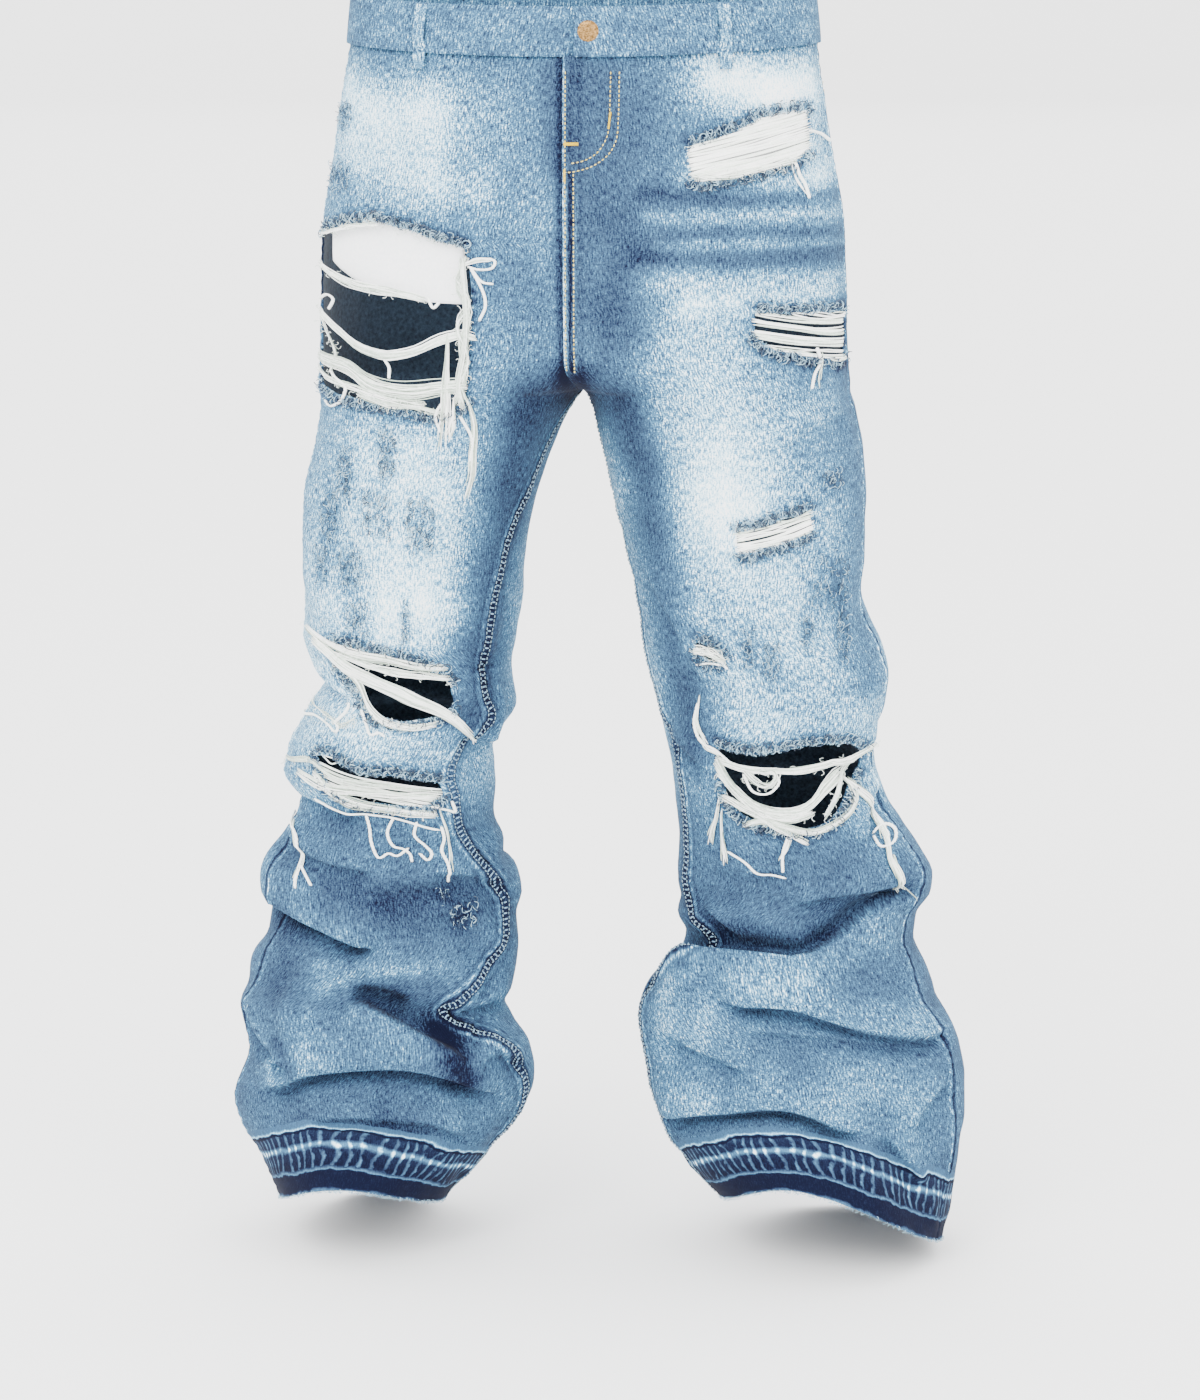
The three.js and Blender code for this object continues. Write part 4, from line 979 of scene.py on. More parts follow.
def back_panel(leg):
    angle, z = back_rows(leg, lambda t: yoke_seam(t) - 0.4, lambda t: np.full_like(t, YOKE_BLEND), 40,
                         BACK_COLUMNS)
    back_edge = lambda h: edges(leg, h)[1]
    outer_edge = lambda h: edges(leg, h)[2]
    heights = even_heights(leg, YOKE_BLEND, HEM[leg], (back_edge, outer_edge), BACK_CELL)[1:]
    first, last = outer_edge(heights), back_edge(heights)
    share = np.linspace(0, 1, BACK_COLUMNS)
    angle = np.concatenate([angle, first[:, None] + (last - first)[:, None] * share])
    z = np.concatenate([z, np.repeat(heights[:, None], BACK_COLUMNS, axis=1)])
    return panel(f"back_{leg}_cloth", leg, angle, z, hem=True)


def yoke(leg):
    angle, z = back_rows(leg, lambda t: np.full_like(t, WAIST_SEAM), lambda t: yoke_seam(t) - 1.0, 16, 70)
    return panel(f"yoke_{leg}_cloth", leg, angle, z, out=0.3)


def back_pocket(leg):
    t = np.linspace(0, 1, 44)
    top = -84 - 12 * t
    bottom = -238 - 20 * (1 - np.abs(2 * t - 1))
    z = top + (bottom - top) * np.linspace(0, 1, 50)[:, None]
    low, high = angle_at(leg, POCKET_FAR, z, True), angle_at(leg, POCKET_NEAR, z, True)
    return panel(f"back_pocket_{leg}_cloth", leg, low + (high - low) * t, z, out=2.1, lighter=0.04)


def around(name, stations, heights, out_of, thickness):
    """A band round the waist through (leg, angle, inset) stations."""
    points, normals, wash_and_shade = [], [], []
    for leg, angle, inset in stations:
        p, n, _ = folded(leg, np.full(len(heights), angle), np.array(heights, float))
        points.append(p + n * (out_of(len(heights)) - inset)[:, None])
        normals.append(n)
        wash_and_shade.append(0.50 + 0.07 * noise(p[:, 0] / 9, p[:, 2] / 6, 8))
    grid = np.stack(points, axis=1)
    rows, columns = grid.shape[:2]
    faces = grid_faces(rows, columns, flip=False)
    piece = mesh_object(name, grid.reshape(-1, 3), faces.tolist(), DENIM_CLOTH,
                        {"cut": cut_map(grid).reshape(-1, 2)}, {"wash_and_shade": np.stack(wash_and_shade, axis=1).ravel()})
    return given_wall(piece, thickness, DENIM_CLOTH)


def waistband():
    lap = BAND_WALL + 0.4
    at = lambda x: float(angle_at("left", np.array(float(x)), np.array(0.0)))
    stations = [("left", at(x), lap) for x in np.arange(UNDER_END, 1, -3)]
    stations += [("right", at(x), lap * (26 - x) / 26) for x in np.arange(1, 26, 3)]
    stations += [("right", a, 0) for a in np.linspace(at(27), 89.8, 110)]
    stations += [("left", a, 0) for a in np.linspace(89.8, at(27), 110)]
    stations += [("left", at(x), 0) for x in np.arange(24, 0, -3)]
    crown = lambda n: BAND_PROUD + 0.5 * np.sin(np.linspace(0, math.pi, n)) ** 0.5
    return around("waistband_cloth", stations, np.linspace(WAIST_TOP, WAIST_SEAM - 1, 16), crown, BAND_WALL)


def belt_loop(number, leg, angle):
    half, rows, columns = 1.9, 30, 9
    steps = [(WAIST_TOP - 1, 1.4), (WAIST_TOP - 4, 3.0), (WAIST_TOP - 8, 4.2), (0, 4.8), (WAIST_SEAM + 8, 4.2),
             (WAIST_SEAM + 3, 3.0), (WAIST_SEAM - 1, 1.6), (WAIST_SEAM - 8, 1.0), (WAIST_SEAM - 14, 0.6)]
    heights, outs = np.array(steps, float).T
    share = np.linspace(0, 1, rows)
    z = np.interp(share, np.linspace(0, 1, len(steps)), heights)
    out = np.interp(share, np.linspace(0, 1, len(steps)), outs) + 2
    turn = np.linspace(-half, half, columns)
    grid_angle = angle + np.broadcast_to(turn, (rows, columns))
    points, normals, _ = folded(leg, grid_angle, np.repeat(z[:, None], columns, axis=1))
    ridge = 0.5 * np.cos(turn / half * math.pi * 1.5) ** 2
    points = points + normals * (out[:, None] + ridge)[..., None]
    piece = mesh_object(f"belt_loop_{number}_cloth", points.reshape(-1, 3),
                        grid_faces(rows, columns, flip=(leg == "right")).tolist(), DENIM_CLOTH,
                        {"cut": cut_map(points).reshape(-1, 2)},
                        {"wash_and_shade": 0.62 + 0.1 * RNG.uniform(-1, 1, rows * columns)})
    return given_wall(piece, 2.0, DENIM_CLOTH)


def lining(name, leg, x_range, bottom_at, out, thickness, material):
    """A plain layer behind the front, between two distances from the centre plane."""
    rows, columns = 60, 40
    t = np.linspace(0, 1, columns)
    z = LINING_TOP + (bottom_at(t) - LINING_TOP) * np.linspace(0, 1, rows)[:, None]
    low, high = (angle_at(leg, float(x), z) for x in x_range)
    angle = low + (high - low) * t
    points, normals, _ = folded(leg, angle, z)
    sag = 1.6 * noise(points[..., 0] / 30, points[..., 2] / 40, 17)
    points = points + normals * (out + np.minimum(sag, 0))[..., None]
    faces = grid_faces(rows, columns, flip=(leg == "left"))
    piece = mesh_object(name, points.reshape(-1, 3), faces.tolist(), material,
                        {"cut": cut_map(points).reshape(-1, 2)}, {"wash_and_shade": np.full(rows * columns, 0.7)})
    return given_wall(piece, thickness)


# ---------------------------------------------------------------------------------- threads
LADDER_STEPS = 16          # points along each kind of thread
HANK_STEPS = 21
YARN_STEPS = 36
TASSEL_STEPS = 18
THREAD = 0.46              # radius of a loose thread


def strands(name, paths, radius, painted_shade_tones=(0.05, 1.0)):
    """Many weft threads as one mesh: tubes along paths of equal length, tapered at their tips, each
    with its own painted shade tone, drawn at random, that stands in for the shade between threads."""
    paths = np.asarray(paths, float)
    count, steps = paths.shape[:2]
    sides = 5
    painted_shade_tone = RNG.uniform(*painted_shade_tones, count)
    radius = np.broadcast_to(np.asarray(radius, float), (count,))
    along = unit(np.gradient(paths, axis=1))
    aside = unit(np.cross(along, np.array([0.31, -0.87, 0.38])))
    other = np.cross(along, aside)
    taper = np.ones(steps)
    taper[[0, -1]] = 0.35
    turn = np.linspace(0, 2 * math.pi, sides, endpoint=False)
    ring = (np.cos(turn)[:, None] * aside[:, :, None] + np.sin(turn)[:, None] * other[:, :, None])
    points = paths[:, :, None] + ring * (radius[:, None] * taper)[..., None, None]
    base = (np.arange(count)[:, None, None] * steps + np.arange(steps - 1)[None, :, None]) * sides
    k = np.arange(sides)[None, None]
    following = (k + 1) % sides
    quads = np.stack([base + k, base + following, base + sides + following, base + sides + k], axis=-1)
    faces = quads.reshape(-1, 4).tolist()
    for n in range(count):
        first, last = n * steps * sides, (n * steps + steps - 1) * sides
        faces.append(list(range(first + sides - 1, first - 1, -1)))
        faces.append(list(range(last, last + sides)))
    return mesh_object(name, points.reshape(-1, 3), faces, WEFT,
                       values={"painted_shade_tone": np.repeat(painted_shade_tone, steps * sides)})


def front_at(leg, x, z):
    """Points of the folded front at distances and heights, and their normals."""
    z = np.asarray(z, float)
    return folded(leg, angle_at(leg, np.asarray(x, float), z), z)[:2]


def cloth_at(leg, x, z, out):
    """Points that stand a distance out from the folded front."""
    points, normals = front_at(leg, x, z)
    return points + normals * np.broadcast_to(np.asarray(out, float), np.shape(z))[..., None]


def ladder(name, rip, pitch, radius, slack, gaps=(), painted_shade_tones=(0.3, 1.0)):
    """White crosswise threads that still close a rip, from its one side to the other."""
    leg, _ = RIPS[rip]
    edge = TORN[rip]
    low, high = edge[:, 1].min(), edge[:, 1].max()
    paths = []
    sweep = np.linspace(edge[:, 0].min() - 1, edge[:, 0].max() + 1, 90)
    centre = edge.mean(0)
    tilt = np.polyfit(edge[:, 0], edge[:, 1], 1)[0]
    for level in np.arange(low - 30, high + 30, pitch):
        z_line = level + tilt * (sweep - centre[0])
        hit = np.flatnonzero(inside(edge, sweep, z_line))
        if len(hit) < 6 or any(abs(level - gap) < wide for gap, wide in gaps):
            continue
        for _ in range(2):
            x = np.linspace(sweep[hit[0]] - 2.5, sweep[hit[-1]] + 2.5, LADDER_STEPS)
            t = np.linspace(0, 1, LADDER_STEPS)
            wander = (RNG.uniform(-0.5, 0.5) * pitch
                      + RNG.uniform(-1, 1) * pitch * np.sin(t * math.pi * RNG.uniform(0.8, 2)))
            z = level + tilt * (x - centre[0]) + wander - slack * RNG.uniform(0.2, 1) * np.sin(t * math.pi)
            out = -0.3 + RNG.uniform(0, 1.2) * np.sin(t * math.pi) + 0.3 * np.sin(t * 9 + RNG.uniform(0, 6))
            paths.append(cloth_at(leg, x, z, out))
    return strands(name, paths, RNG.uniform(0.8, 1.15, len(paths)) * radius, painted_shade_tones)


def hank(leg, route, thickness, count, fan, out=1.0):
    """Paths of a loose hank that follows a [distance, height] route in front of the cloth. Its
    threads lie side by side, and fan out towards its ends when fan is low."""
    line = rounded(route, HANK_STEPS)
    t = np.linspace(0, 1, HANK_STEPS)
    arch = np.sin(t * math.pi)
    pinch = fan + (1 - fan) * arch if fan <= 1 else 1 / (1 + (fan - 1) * arch)
    paths = []
    for lane in (np.arange(count) + 0.5) / count - 0.5:
        lift = (lane + RNG.normal(0, 0.09)) * thickness
        crown = thickness * 0.36 * math.sqrt(max(0, 1 - (2 * lane) ** 2)) * RNG.uniform(0, 1)
        wave = 0.5 * (np.sin(t * RNG.uniform(5, 12) + RNG.uniform(0, 6))
                      + 0.6 * np.sin(t * RNG.uniform(15, 30) + RNG.uniform(0, 6)))
        cross = RNG.normal(0, 0.30) * thickness * (t - RNG.uniform(0.3, 0.7))
        x = line[:, 0] + RNG.normal(0, 0.8)
        z = line[:, 1] + (lift + cross) * pinch + wave
        paths.append(cloth_at(leg, x, z, out + crown * pinch + 0.3 * np.sin(t * 8 + RNG.uniform(0, 6))))
    return paths


def yarn(leg, route):
    """A thicker yarn of three plies, on a smooth route of its own."""
    radius, out, turns = 0.62, 1.8, 6
    line = rounded(route, YARN_STEPS)
    t = np.linspace(0, 1, YARN_STEPS)
    paths = []
    for ply in range(3):
        turn = 2 * math.pi * (ply / 3 + turns * t)
        paths.append(cloth_at(leg, line[:, 0] + radius * np.cos(turn), line[:, 1] + radius * 0.5 * np.sin(turn),
                              out + radius * np.sin(turn)))
    return paths


def tassel(leg, route, count, spread_at_end):
    """Loose ends that hang down over the cloth from one place."""
    line = rounded(route, TASSEL_STEPS)
    t = np.linspace(0, 1, TASSEL_STEPS)
    paths = []
    for _ in range(count):
        side, phase = RNG.uniform(-1, 1), RNG.uniform(0, 6)
        cut = RNG.uniform(0.70, 1.0)
        x = line[:, 0] + (side * spread_at_end * t + 1.2 * np.sin(t * RNG.uniform(4, 9) + phase) * t)
        z = line[:, 1] + RNG.normal(0, 0.8)
        x, z = (np.interp(t * cut, t, a) for a in (x, z))
        paths.append(cloth_at(leg, x, z, 1.2 + abs(RNG.normal(0, 0.8)) + 0.4 * np.sin(t * 7 + phase)))
    return paths


def edge_points(rip, upper, pitch):
    """Points along the upper or lower side of a rip, with the way out of the hole at each."""
    edge = TORN[rip]
    closed = np.concatenate([edge, edge[:1]])
    length = np.linalg.norm(np.diff(closed, axis=0), axis=1).sum()
    line = spread(closed, int(length / pitch))[:-1]
    ahead = unit(np.roll(line, -1, axis=0) - np.roll(line, 1, axis=0))
    away = np.stack([ahead[:, 1], -ahead[:, 0]], axis=1)
    outward = line + away
    flip = np.where(inside(edge, outward[:, 0], outward[:, 1]), -1, 1)
    away *= flip[:, None]
    chosen = away[:, 1] > 0.35 if upper else away[:, 1] < -0.35
    return line[chosen], away[chosen]


# ---------------------------------------------------------------------------------- repeats
def geometry_tree(name, inputs):
    """An empty tree of geometry nodes with named inputs, its group input and its output."""
    tree = bpy.data.node_groups.new(name, "GeometryNodeTree")
    tree.interface.new_socket("Geometry", in_out="INPUT", socket_type="NodeSocketGeometry")
    tree.interface.new_socket("Geometry", in_out="OUTPUT", socket_type="NodeSocketGeometry")
    for label, (kind, value) in inputs.items():
        socket = tree.interface.new_socket(label, in_out="INPUT", socket_type=f"NodeSocket{kind}")
        if value is not None:
            socket.default_value = value
    return tree, add(tree, "NodeGroupInput"), add(tree, "NodeGroupOutput")


def along_and_out(tree):
    """A rotation with X along the attribute 'along' and Z towards the attribute 'out'."""
    named = lambda key: add(tree, "GeometryNodeInputNamedAttribute", {"Name": key},
                            data_type="FLOAT_VECTOR").outputs["Attribute"]
    first = add(tree, "FunctionNodeAlignRotationToVector", {"Vector": named("along")}, axis="X").outputs[0]
    return add(tree, "FunctionNodeAlignRotationToVector", {"Rotation": first, "Vector": named("out")},
               axis="Z", pivot_axis="X").outputs[0]


def finish_tree(tree, given, result, shape, turn, size):
    """Puts the shape on every point, as a real mesh in the given material."""
    copies = add(tree, "GeometryNodeInstanceOnPoints", {
        "Points": given.outputs["Geometry"], "Instance": shape, "Rotation": turn, "Scale": size}).outputs[0]
    whole = add(tree, "GeometryNodeRealizeInstances", {"Geometry": copies}).outputs[0]
    done = add(tree, "GeometryNodeSetMaterial", {"Geometry": whole, "Material": given.outputs["Material"]})
    tree.links.new(done.outputs[0], result.inputs[0])
    return tree


def stitch_tree():
    """One short, plump stitch on every point."""
    tree, given, result = geometry_tree("topstitching", {
        "Length": ("Float", 0.0026), "Width": ("Float", 0.0008), "Material": ("Material", None)})
    grain = add(tree, "GeometryNodeMeshUVSphere", {"Segments": 6, "Rings": 3, "Radius": 0.5}).outputs[0]
    size = vector(tree, given.outputs["Length"], given.outputs["Width"], given.outputs["Width"])
    return finish_tree(tree, given, result, grain, along_and_out(tree), size)


def fringe_tree():
    """A few curved fibres on every point, each turned and sized at random from a fixed seed."""
    tree, given, result = geometry_tree("frayed_fringe", {
        "Length": ("Float", 0.009), "Bend": ("Float", 0.35), "Thickness": ("Float", 0.0004),
        "Spread": ("Float", 0.7), "Seed": ("Int", 3), "Material": ("Material", None)})
    bow = add(tree, "GeometryNodeCurveQuadraticBezier", {
        "Resolution": 4, "Start": (0, 0, 0), "Middle": (0.75, 0.62, 0.30),
        "End": (0.85, -0.30, 0.16)}).outputs[0]
    ring = add(tree, "GeometryNodeCurvePrimitiveCircle", {"Resolution": 3, "Radius": 1.0}).outputs[0]
    thin = maths(tree, "DIVIDE", given.outputs["Thickness"], given.outputs["Length"])
    scaled = add(tree, "GeometryNodeTransform", {
        "Geometry": ring, "Scale": vector(tree, thin, thin, thin)}).outputs[0]
    fibre = add(tree, "GeometryNodeCurveToMesh", {"Curve": bow, "Profile Curve": scaled,
                                                  "Fill Caps": True}).outputs[0]
    low = vector(tree, -math.pi, -0.35, maths(tree, "MULTIPLY", given.outputs["Spread"], -1.0))
    high = vector(tree, math.pi, 0.35, given.outputs["Spread"])
    turn = add(tree, "FunctionNodeRandomValue", {"Min": low, "Max": high, "Seed": given.outputs["Seed"]},
               data_type="FLOAT_VECTOR").outputs[0]
    twisted = add(tree, "FunctionNodeRotateRotation", {
        "Rotation": along_and_out(tree), "Rotate By": turn}, rotation_space="LOCAL").outputs[0]
    share = add(tree, "FunctionNodeRandomValue", {"Min": 0.45, "Max": 1.0, "Seed": 9}, data_type="FLOAT")
    size = maths(tree, "MULTIPLY", share.outputs[1], given.outputs["Length"])
    return finish_tree(tree, given, result, fibre, twisted, size)


STITCHING = stitch_tree()
FRINGE = fringe_tree()


def repeated(name, tree, points, along, out, **sizes):
    """A plain mesh of what the tree puts on each point, its sizes given in mm."""
    mesh = bpy.data.meshes.new(name + "_points")
    mesh.from_pydata((np.asarray(points) * MM).tolist(), [], [])
    for key, vectors in (("along", along), ("out", out)):
        mesh.attributes.new(key, "FLOAT_VECTOR", "POINT").data.foreach_set(
            "vector", np.asarray(vectors, np.float32).ravel())
    carrier = placed(name + "_points", mesh)
    modifier = carrier.modifiers.new("repeat", "NODES")
    modifier.node_group = tree
    for item in tree.interface.items_tree:
        if item.in_out == "INPUT" and item.name in sizes:
            in_mm = item.name in ("Length", "Width", "Thickness")
            modifier[item.identifier] = sizes[item.name] * MM if in_mm else sizes[item.name]
    bpy.context.view_layer.update()
    evaluated = carrier.evaluated_get(bpy.context.evaluated_depsgraph_get())
    made = placed(name, bpy.data.meshes.new_from_object(evaluated))
    made.data.name = name
    bpy.data.objects.remove(carrier)
    soften(made.data)
    return made


# ---------------------------------------------------------------------------------- stitches
STITCH_PITCH = 3.4


def stitched(lines, lift, pitch=STITCH_PITCH, across=False):
    """Stitch centres, directions and normals along (leg, [(angle, height)]) lines."""
    points, along, out = [], [], []
    for leg, route in lines:
        fine = rounded(route, 200)
        place, facing, _ = folded(leg, fine[:, 0], fine[:, 1])
        rise, _ = seam_relief(leg, body(leg, fine[:, 0], fine[:, 1]), facing)
        place = place + facing * (lift + rise)[:, None]
        run = length_along(place)
        at = np.arange(pitch / 2, run[-1], pitch)
        pick = lambda a: np.stack([np.interp(at, run, a[:, k]) for k in range(3)], axis=1)
        points.append(pick(place))
        way, face = unit(pick(np.gradient(place, axis=0))), unit(pick(facing))
        along.append(np.cross(way, face) if across else way)
        out.append(face)
    return np.concatenate(points), np.concatenate(along), np.concatenate(out)


def front_line(leg, route):
    """A [distance, height] route in front, as [angle, height]."""
    line = rounded(route, 60)
    return [(float(angle_at(leg, np.array(x), np.array(z))), z) for x, z in line]


def beside_edge(leg, which, inset, z_from, z_to):
    """A line a set distance in from a panel's edge, as [angle, height]."""
    z = np.linspace(z_from, z_to, 90)
    edge = edges(leg, z)[which]
    step = body(leg, edge + 0.5, z) - body(leg, edge - 0.5, z)
    return list(zip(edge + inset / np.linalg.norm(step, axis=1), z))


INSEAM, OUTSEAM = 0, 2
for one_leg in SIDE:
    for seam, inset, top, half, length in ((INSEAM, 5.0, -291, 6.0, 680.0),
                                           (OUTSEAM, 0.0, WAIST_SEAM, 3.0, 940.0)):
        SEAM_RELIEF[one_leg].append(
            (on_form(one_leg, beside_edge(one_leg, seam, inset, top, HEM[one_leg])), half, length))
centre = front_line("left", [(1, -112), (1, -200), (1, -264)])
SEAM_RELIEF["left"].append((on_form("left", centre), 3.6, 150.0))

# ---------------------------------------------------------------------------------- make the cloth
PIECES = {}
for one_leg in SIDE:
    PIECES[f"front_{one_leg}"] = front_panel(one_leg)
    PIECES[f"back_{one_leg}"] = back_panel(one_leg)
    PIECES[f"yoke_{one_leg}"] = yoke(one_leg)
    PIECES[f"back_pocket_{one_leg}"] = back_pocket(one_leg)
    PIECES[f"pocket_bag_{one_leg}"] = lining(
        f"pocket_bag_{one_leg}_cloth", one_leg, (198, 82),
        lambda t: -187 - 28 * np.sin(t * math.pi / 2), -5.0, 1.0, POCKETING)
PIECES["waistband"] = waistband()
for number, (one_leg, turn) in enumerate([("right", -52), ("left", -52), ("right", 28), ("left", 28),
                                          ("left", 87)], 1):
    PIECES[f"belt_loop_{number}"] = belt_loop(number, one_leg, turn)
PIECES["fly_shield"] = lining("fly_shield_cloth", "left", (42, 2), lambda t: np.full_like(t, -124.0),
                              -7.0, 1.5, DENIM_CLOTH)

# ---------------------------------------------------------------------------------- trims
TRIMS = {leg: [] for leg in SIDE}
PIECES["ladder_pocket"] = ladder("pocket_rip_threads", "pocket", 1.45, 0.72, 0.8, painted_shade_tones=(0.55, 1.0))
PIECES["ladder_hip"] = ladder("hip_rip_threads", "hip", 1.7, 0.62, 1.0,
                              gaps=[(-231, 1.0), (-239, 1.6), (-249, 1.2)])
PIECES["ladder_thigh"] = ladder("thigh_rip_threads", "thigh_left", 1.6, 0.62, 1.0)
PIECES["ladder_knee"] = ladder("low_knee_rip_threads", "knee_right_low", 1.9, 0.55, 3.0,
                               gaps=[(-584, 1.5), (-607, 2.5)])

# Hanks across the open rips: name, leg, route, thickness, threads, fan
HANKS = {
    "thigh_upper": ("thigh_hank_upper", "right", [
        (206, -226), (195, -232), (183, -240), (165, -251), (143, -256), (121, -252), (101, -243),
        (84, -238), (72, -240)], 6, 26, 0.55),
    "thigh_lower": ("thigh_hank_lower", "right", [
        (206, -262), (192, -264), (174, -267), (159, -276), (143, -281), (123, -282), (98, -278),
        (80, -276)], 10, 42, 0.55),
    "knee_right": ("knee_hank_right", "right", [
        (208, -482), (193, -490), (177, -500), (156, -510), (136, -519), (113, -529), (96, -540),
        (86, -551)], 10, 42, 0.55),
    "knee_left": ("knee_hank_left", "left", [
        (112, -572), (122, -588), (133, -598), (147, -607), (164, -611), (181, -607), (193, -595),
        (207, -582)], 10, 40, 1.6),
}
for place, (name, leg, route, thick, count, fan) in HANKS.items():
    PIECES[f"threads_{place}"] = strands(name, hank(leg, route, thick, count, fan), THREAD)


def fluff(name, leg, routes):
    """Short curled fibres that stand off the loose hanks."""
    places, ways, faces = [], [], []
    for route in routes:
        line = rounded(route, 40)
        line = line + RNG.normal(0, 1.6, line.shape)
        place, facing = front_at(leg, line[:, 0], line[:, 1])
        places.append(place + facing * 2.2)
        ways.append(unit(RNG.normal(0, 1, place.shape) + facing * 0.4))
        faces.append(facing)
    return repeated(name, FRINGE, np.concatenate(places), np.concatenate(ways), np.concatenate(faces),
                    Length=6, Thickness=0.3, Spread=0.9, Seed=17, Material=FLUFF)


# Smaller hanks: leg, route, thickness, threads, fan
SMALL_HANKS = [
    ("right", [(208, -189), (190, -197), (170, -203), (140, -207), (112, -212)], 6, 16, 0.5),
    ("right", [(165, -286), (150, -290), (138, -293), (118, -294), (100, -298)], 4, 14, 0.6),
    ("right", [(206, -168), (190, -163), (170, -158), (150, -156)], 2, 7, 0.6),
    ("right", [(206, -270), (196, -276), (180, -280), (160, -284), (140, -288), (112, -292)], 4, 12,
        0.6),
    ("right", [(205, -226), (196, -240), (188, -252), (186, -262), (192, -272)], 2, 4, 0.6),
    ("right", [(82, -182), (80, -206), (79, -228), (81, -252), (86, -276), (84, -292)], 9, 30, 0.7),
    ("right", [(78, -180), (86, -200), (76, -222), (84, -246), (80, -270), (90, -290)], 7, 10, 0.7),
    ("right", [(86, -196), (76, -214), (86, -232), (78, -256), (88, -280)], 8, 9, 0.7),
    ("right", [(216, -475), (202, -480), (180, -487), (163, -490), (147, -492), (120, -499),
        (100, -500)], 6, 20, 0.6),
    ("right", [(200, -488), (180, -498), (168, -512), (160, -532), (148, -542), (128, -546),
        (109, -543)], 6, 18, 0.6),
    ("right", [(191, -490), (170, -494), (151, -500), (135, -504), (112, -506), (99, -508)], 5, 12,
        0.6),
    ("right", [(214, -538), (196, -542), (182, -548), (170, -540)], 1.2, 3, 0.6),
    ("right", [(221, -589), (194, -596), (169, -598), (138, -602), (112, -603)], 6, 16, 0.6),
    ("right", [(206, -586), (190, -600), (168, -610), (140, -616), (112, -618)], 7, 16, 0.6),
    ("right", [(235, -585), (211, -578), (198, -584), (181, -590), (153, -593), (120, -598)], 4, 9,
        0.6),
    ("left", [(112, -569), (134, -575), (153, -576), (178, -577), (197, -574), (213, -568),
        (229, -560)], 5, 20, 0.7),
    ("left", [(116, -599), (131, -606), (145, -613), (164, -626), (182, -637)], 5, 14, 0.6),
    ("left", [(133, -622), (147, -617), (164, -622), (181, -627), (197, -624), (211, -614), (219, -604),
        (216, -590)], 5, 18, 0.7),
    ("left", [(113, -580), (124, -590), (136, -602), (150, -612), (166, -616), (186, -612)], 5, 14,
        0.6),
    ("left", [(134, -577), (144, -586), (152, -588), (158, -583), (156, -577), (146, -576)], 4, 12,
        0.8),
    ("left", [(228, -561), (216, -572), (210, -584), (204, -600), (196, -616)], 5, 14, 0.6),
    ("left", [(96, -481), (106, -482), (114, -486), (119, -490)], 5, 10, 0.8),
    ("left", [(92, -116), (108, -118), (126, -116), (146, -111), (168, -107)], 2.5, 7, 0.8),
]
for one_leg in SIDE:
    lying = [path for leg, route, thick, count, fan in SMALL_HANKS if leg == one_leg
             for path in hank(leg, route, thick, count, fan, 1.3)]
    TRIMS[one_leg].append(strands(f"small_hanks_{one_leg}", lying, 0.44))
    TRIMS[one_leg].append(fluff(f"thread_fluff_{one_leg}", one_leg, [
        route for leg, route, *_ in SMALL_HANKS if leg == one_leg]))

# Single thicker yarns that curl over the cloth
CURLS = {
    "right": [
        [(165, -619), (163, -631), (162, -642), (157, -655), (149, -651), (142, -653), (133, -647)],
        [(144, -622), (149, -634), (145, -645), (137, -648), (132, -652), (131, -658)],
        [(126, -624), (128, -636), (121, -644), (116, -651), (119, -657), (125, -651)],
        [(109, -628), (107, -639), (109, -649), (105, -661), (103, -678)],
        [(204, -604), (191, -612), (170, -617), (138, -623), (110, -631)],
        [(115, -611), (104, -615), (99, -617), (101, -608)],
        [(232, -634), (224, -645), (225, -662), (226, -677), (225, -684)],
        [(225, -668), (219, -675), (213, -682)],
        [(222, -551), (207, -546), (195, -549), (188, -554), (185, -550), (187, -548)],
        [(188, -548), (178, -537), (176, -530)],
        [(166, -534), (162, -546), (159, -553), (152, -551), (148, -554)],
        [(205, -218), (196, -213), (189, -216), (193, -224)],
        [(191, -271), (186, -276), (176, -282), (180, -292), (191, -298), (197, -294)],
        [(144, -259), (140, -265), (140, -273)],
        [(109, -210), (105, -218), (100, -214)],
        [(78, -184), (70, -180), (57, -181), (59, -187), (69, -188), (77, -186)],
        [(75, -187), (67, -197), (58, -199)],
        [(75, -187), (66, -204), (64, -216), (69, -227)],
        [(86, -300), (78, -318), (80, -336)],
        [(96, -286), (104, -300), (100, -314)],
    ],
    "left": [
        [(235, -632), (242, -627), (250, -633), (249, -642), (239, -643), (235, -634)],
        [(170, -630), (166, -642), (161, -650)],
        [(167, -631), (163, -646), (163, -662)],
        [(120, -646), (134, -654), (144, -663), (154, -664), (165, -667)],
        [(96, -526), (94, -543), (99, -556), (111, -562), (122, -570)],
        [(97, -483), (106, -483), (116, -489), (121, -495)],
        [(98, -493), (108, -491), (116, -492)],
        [(184, -250), (187, -261), (183, -270), (181, -281)],
        [(167, -108), (170, -118), (174, -126), (177, -136)],
        [(177, -84), (186, -88), (192, -94)],
        [(133, -579), (140, -592), (152, -594), (160, -586), (157, -578)],
    ],
}
for one_leg, routes in CURLS.items():
    curled = [path for route in routes for path in yarn(one_leg, route)]
    TRIMS[one_leg].append(strands(f"curled_yarns_{one_leg}", curled, 0.74, painted_shade_tones=(0.65, 1.0)))


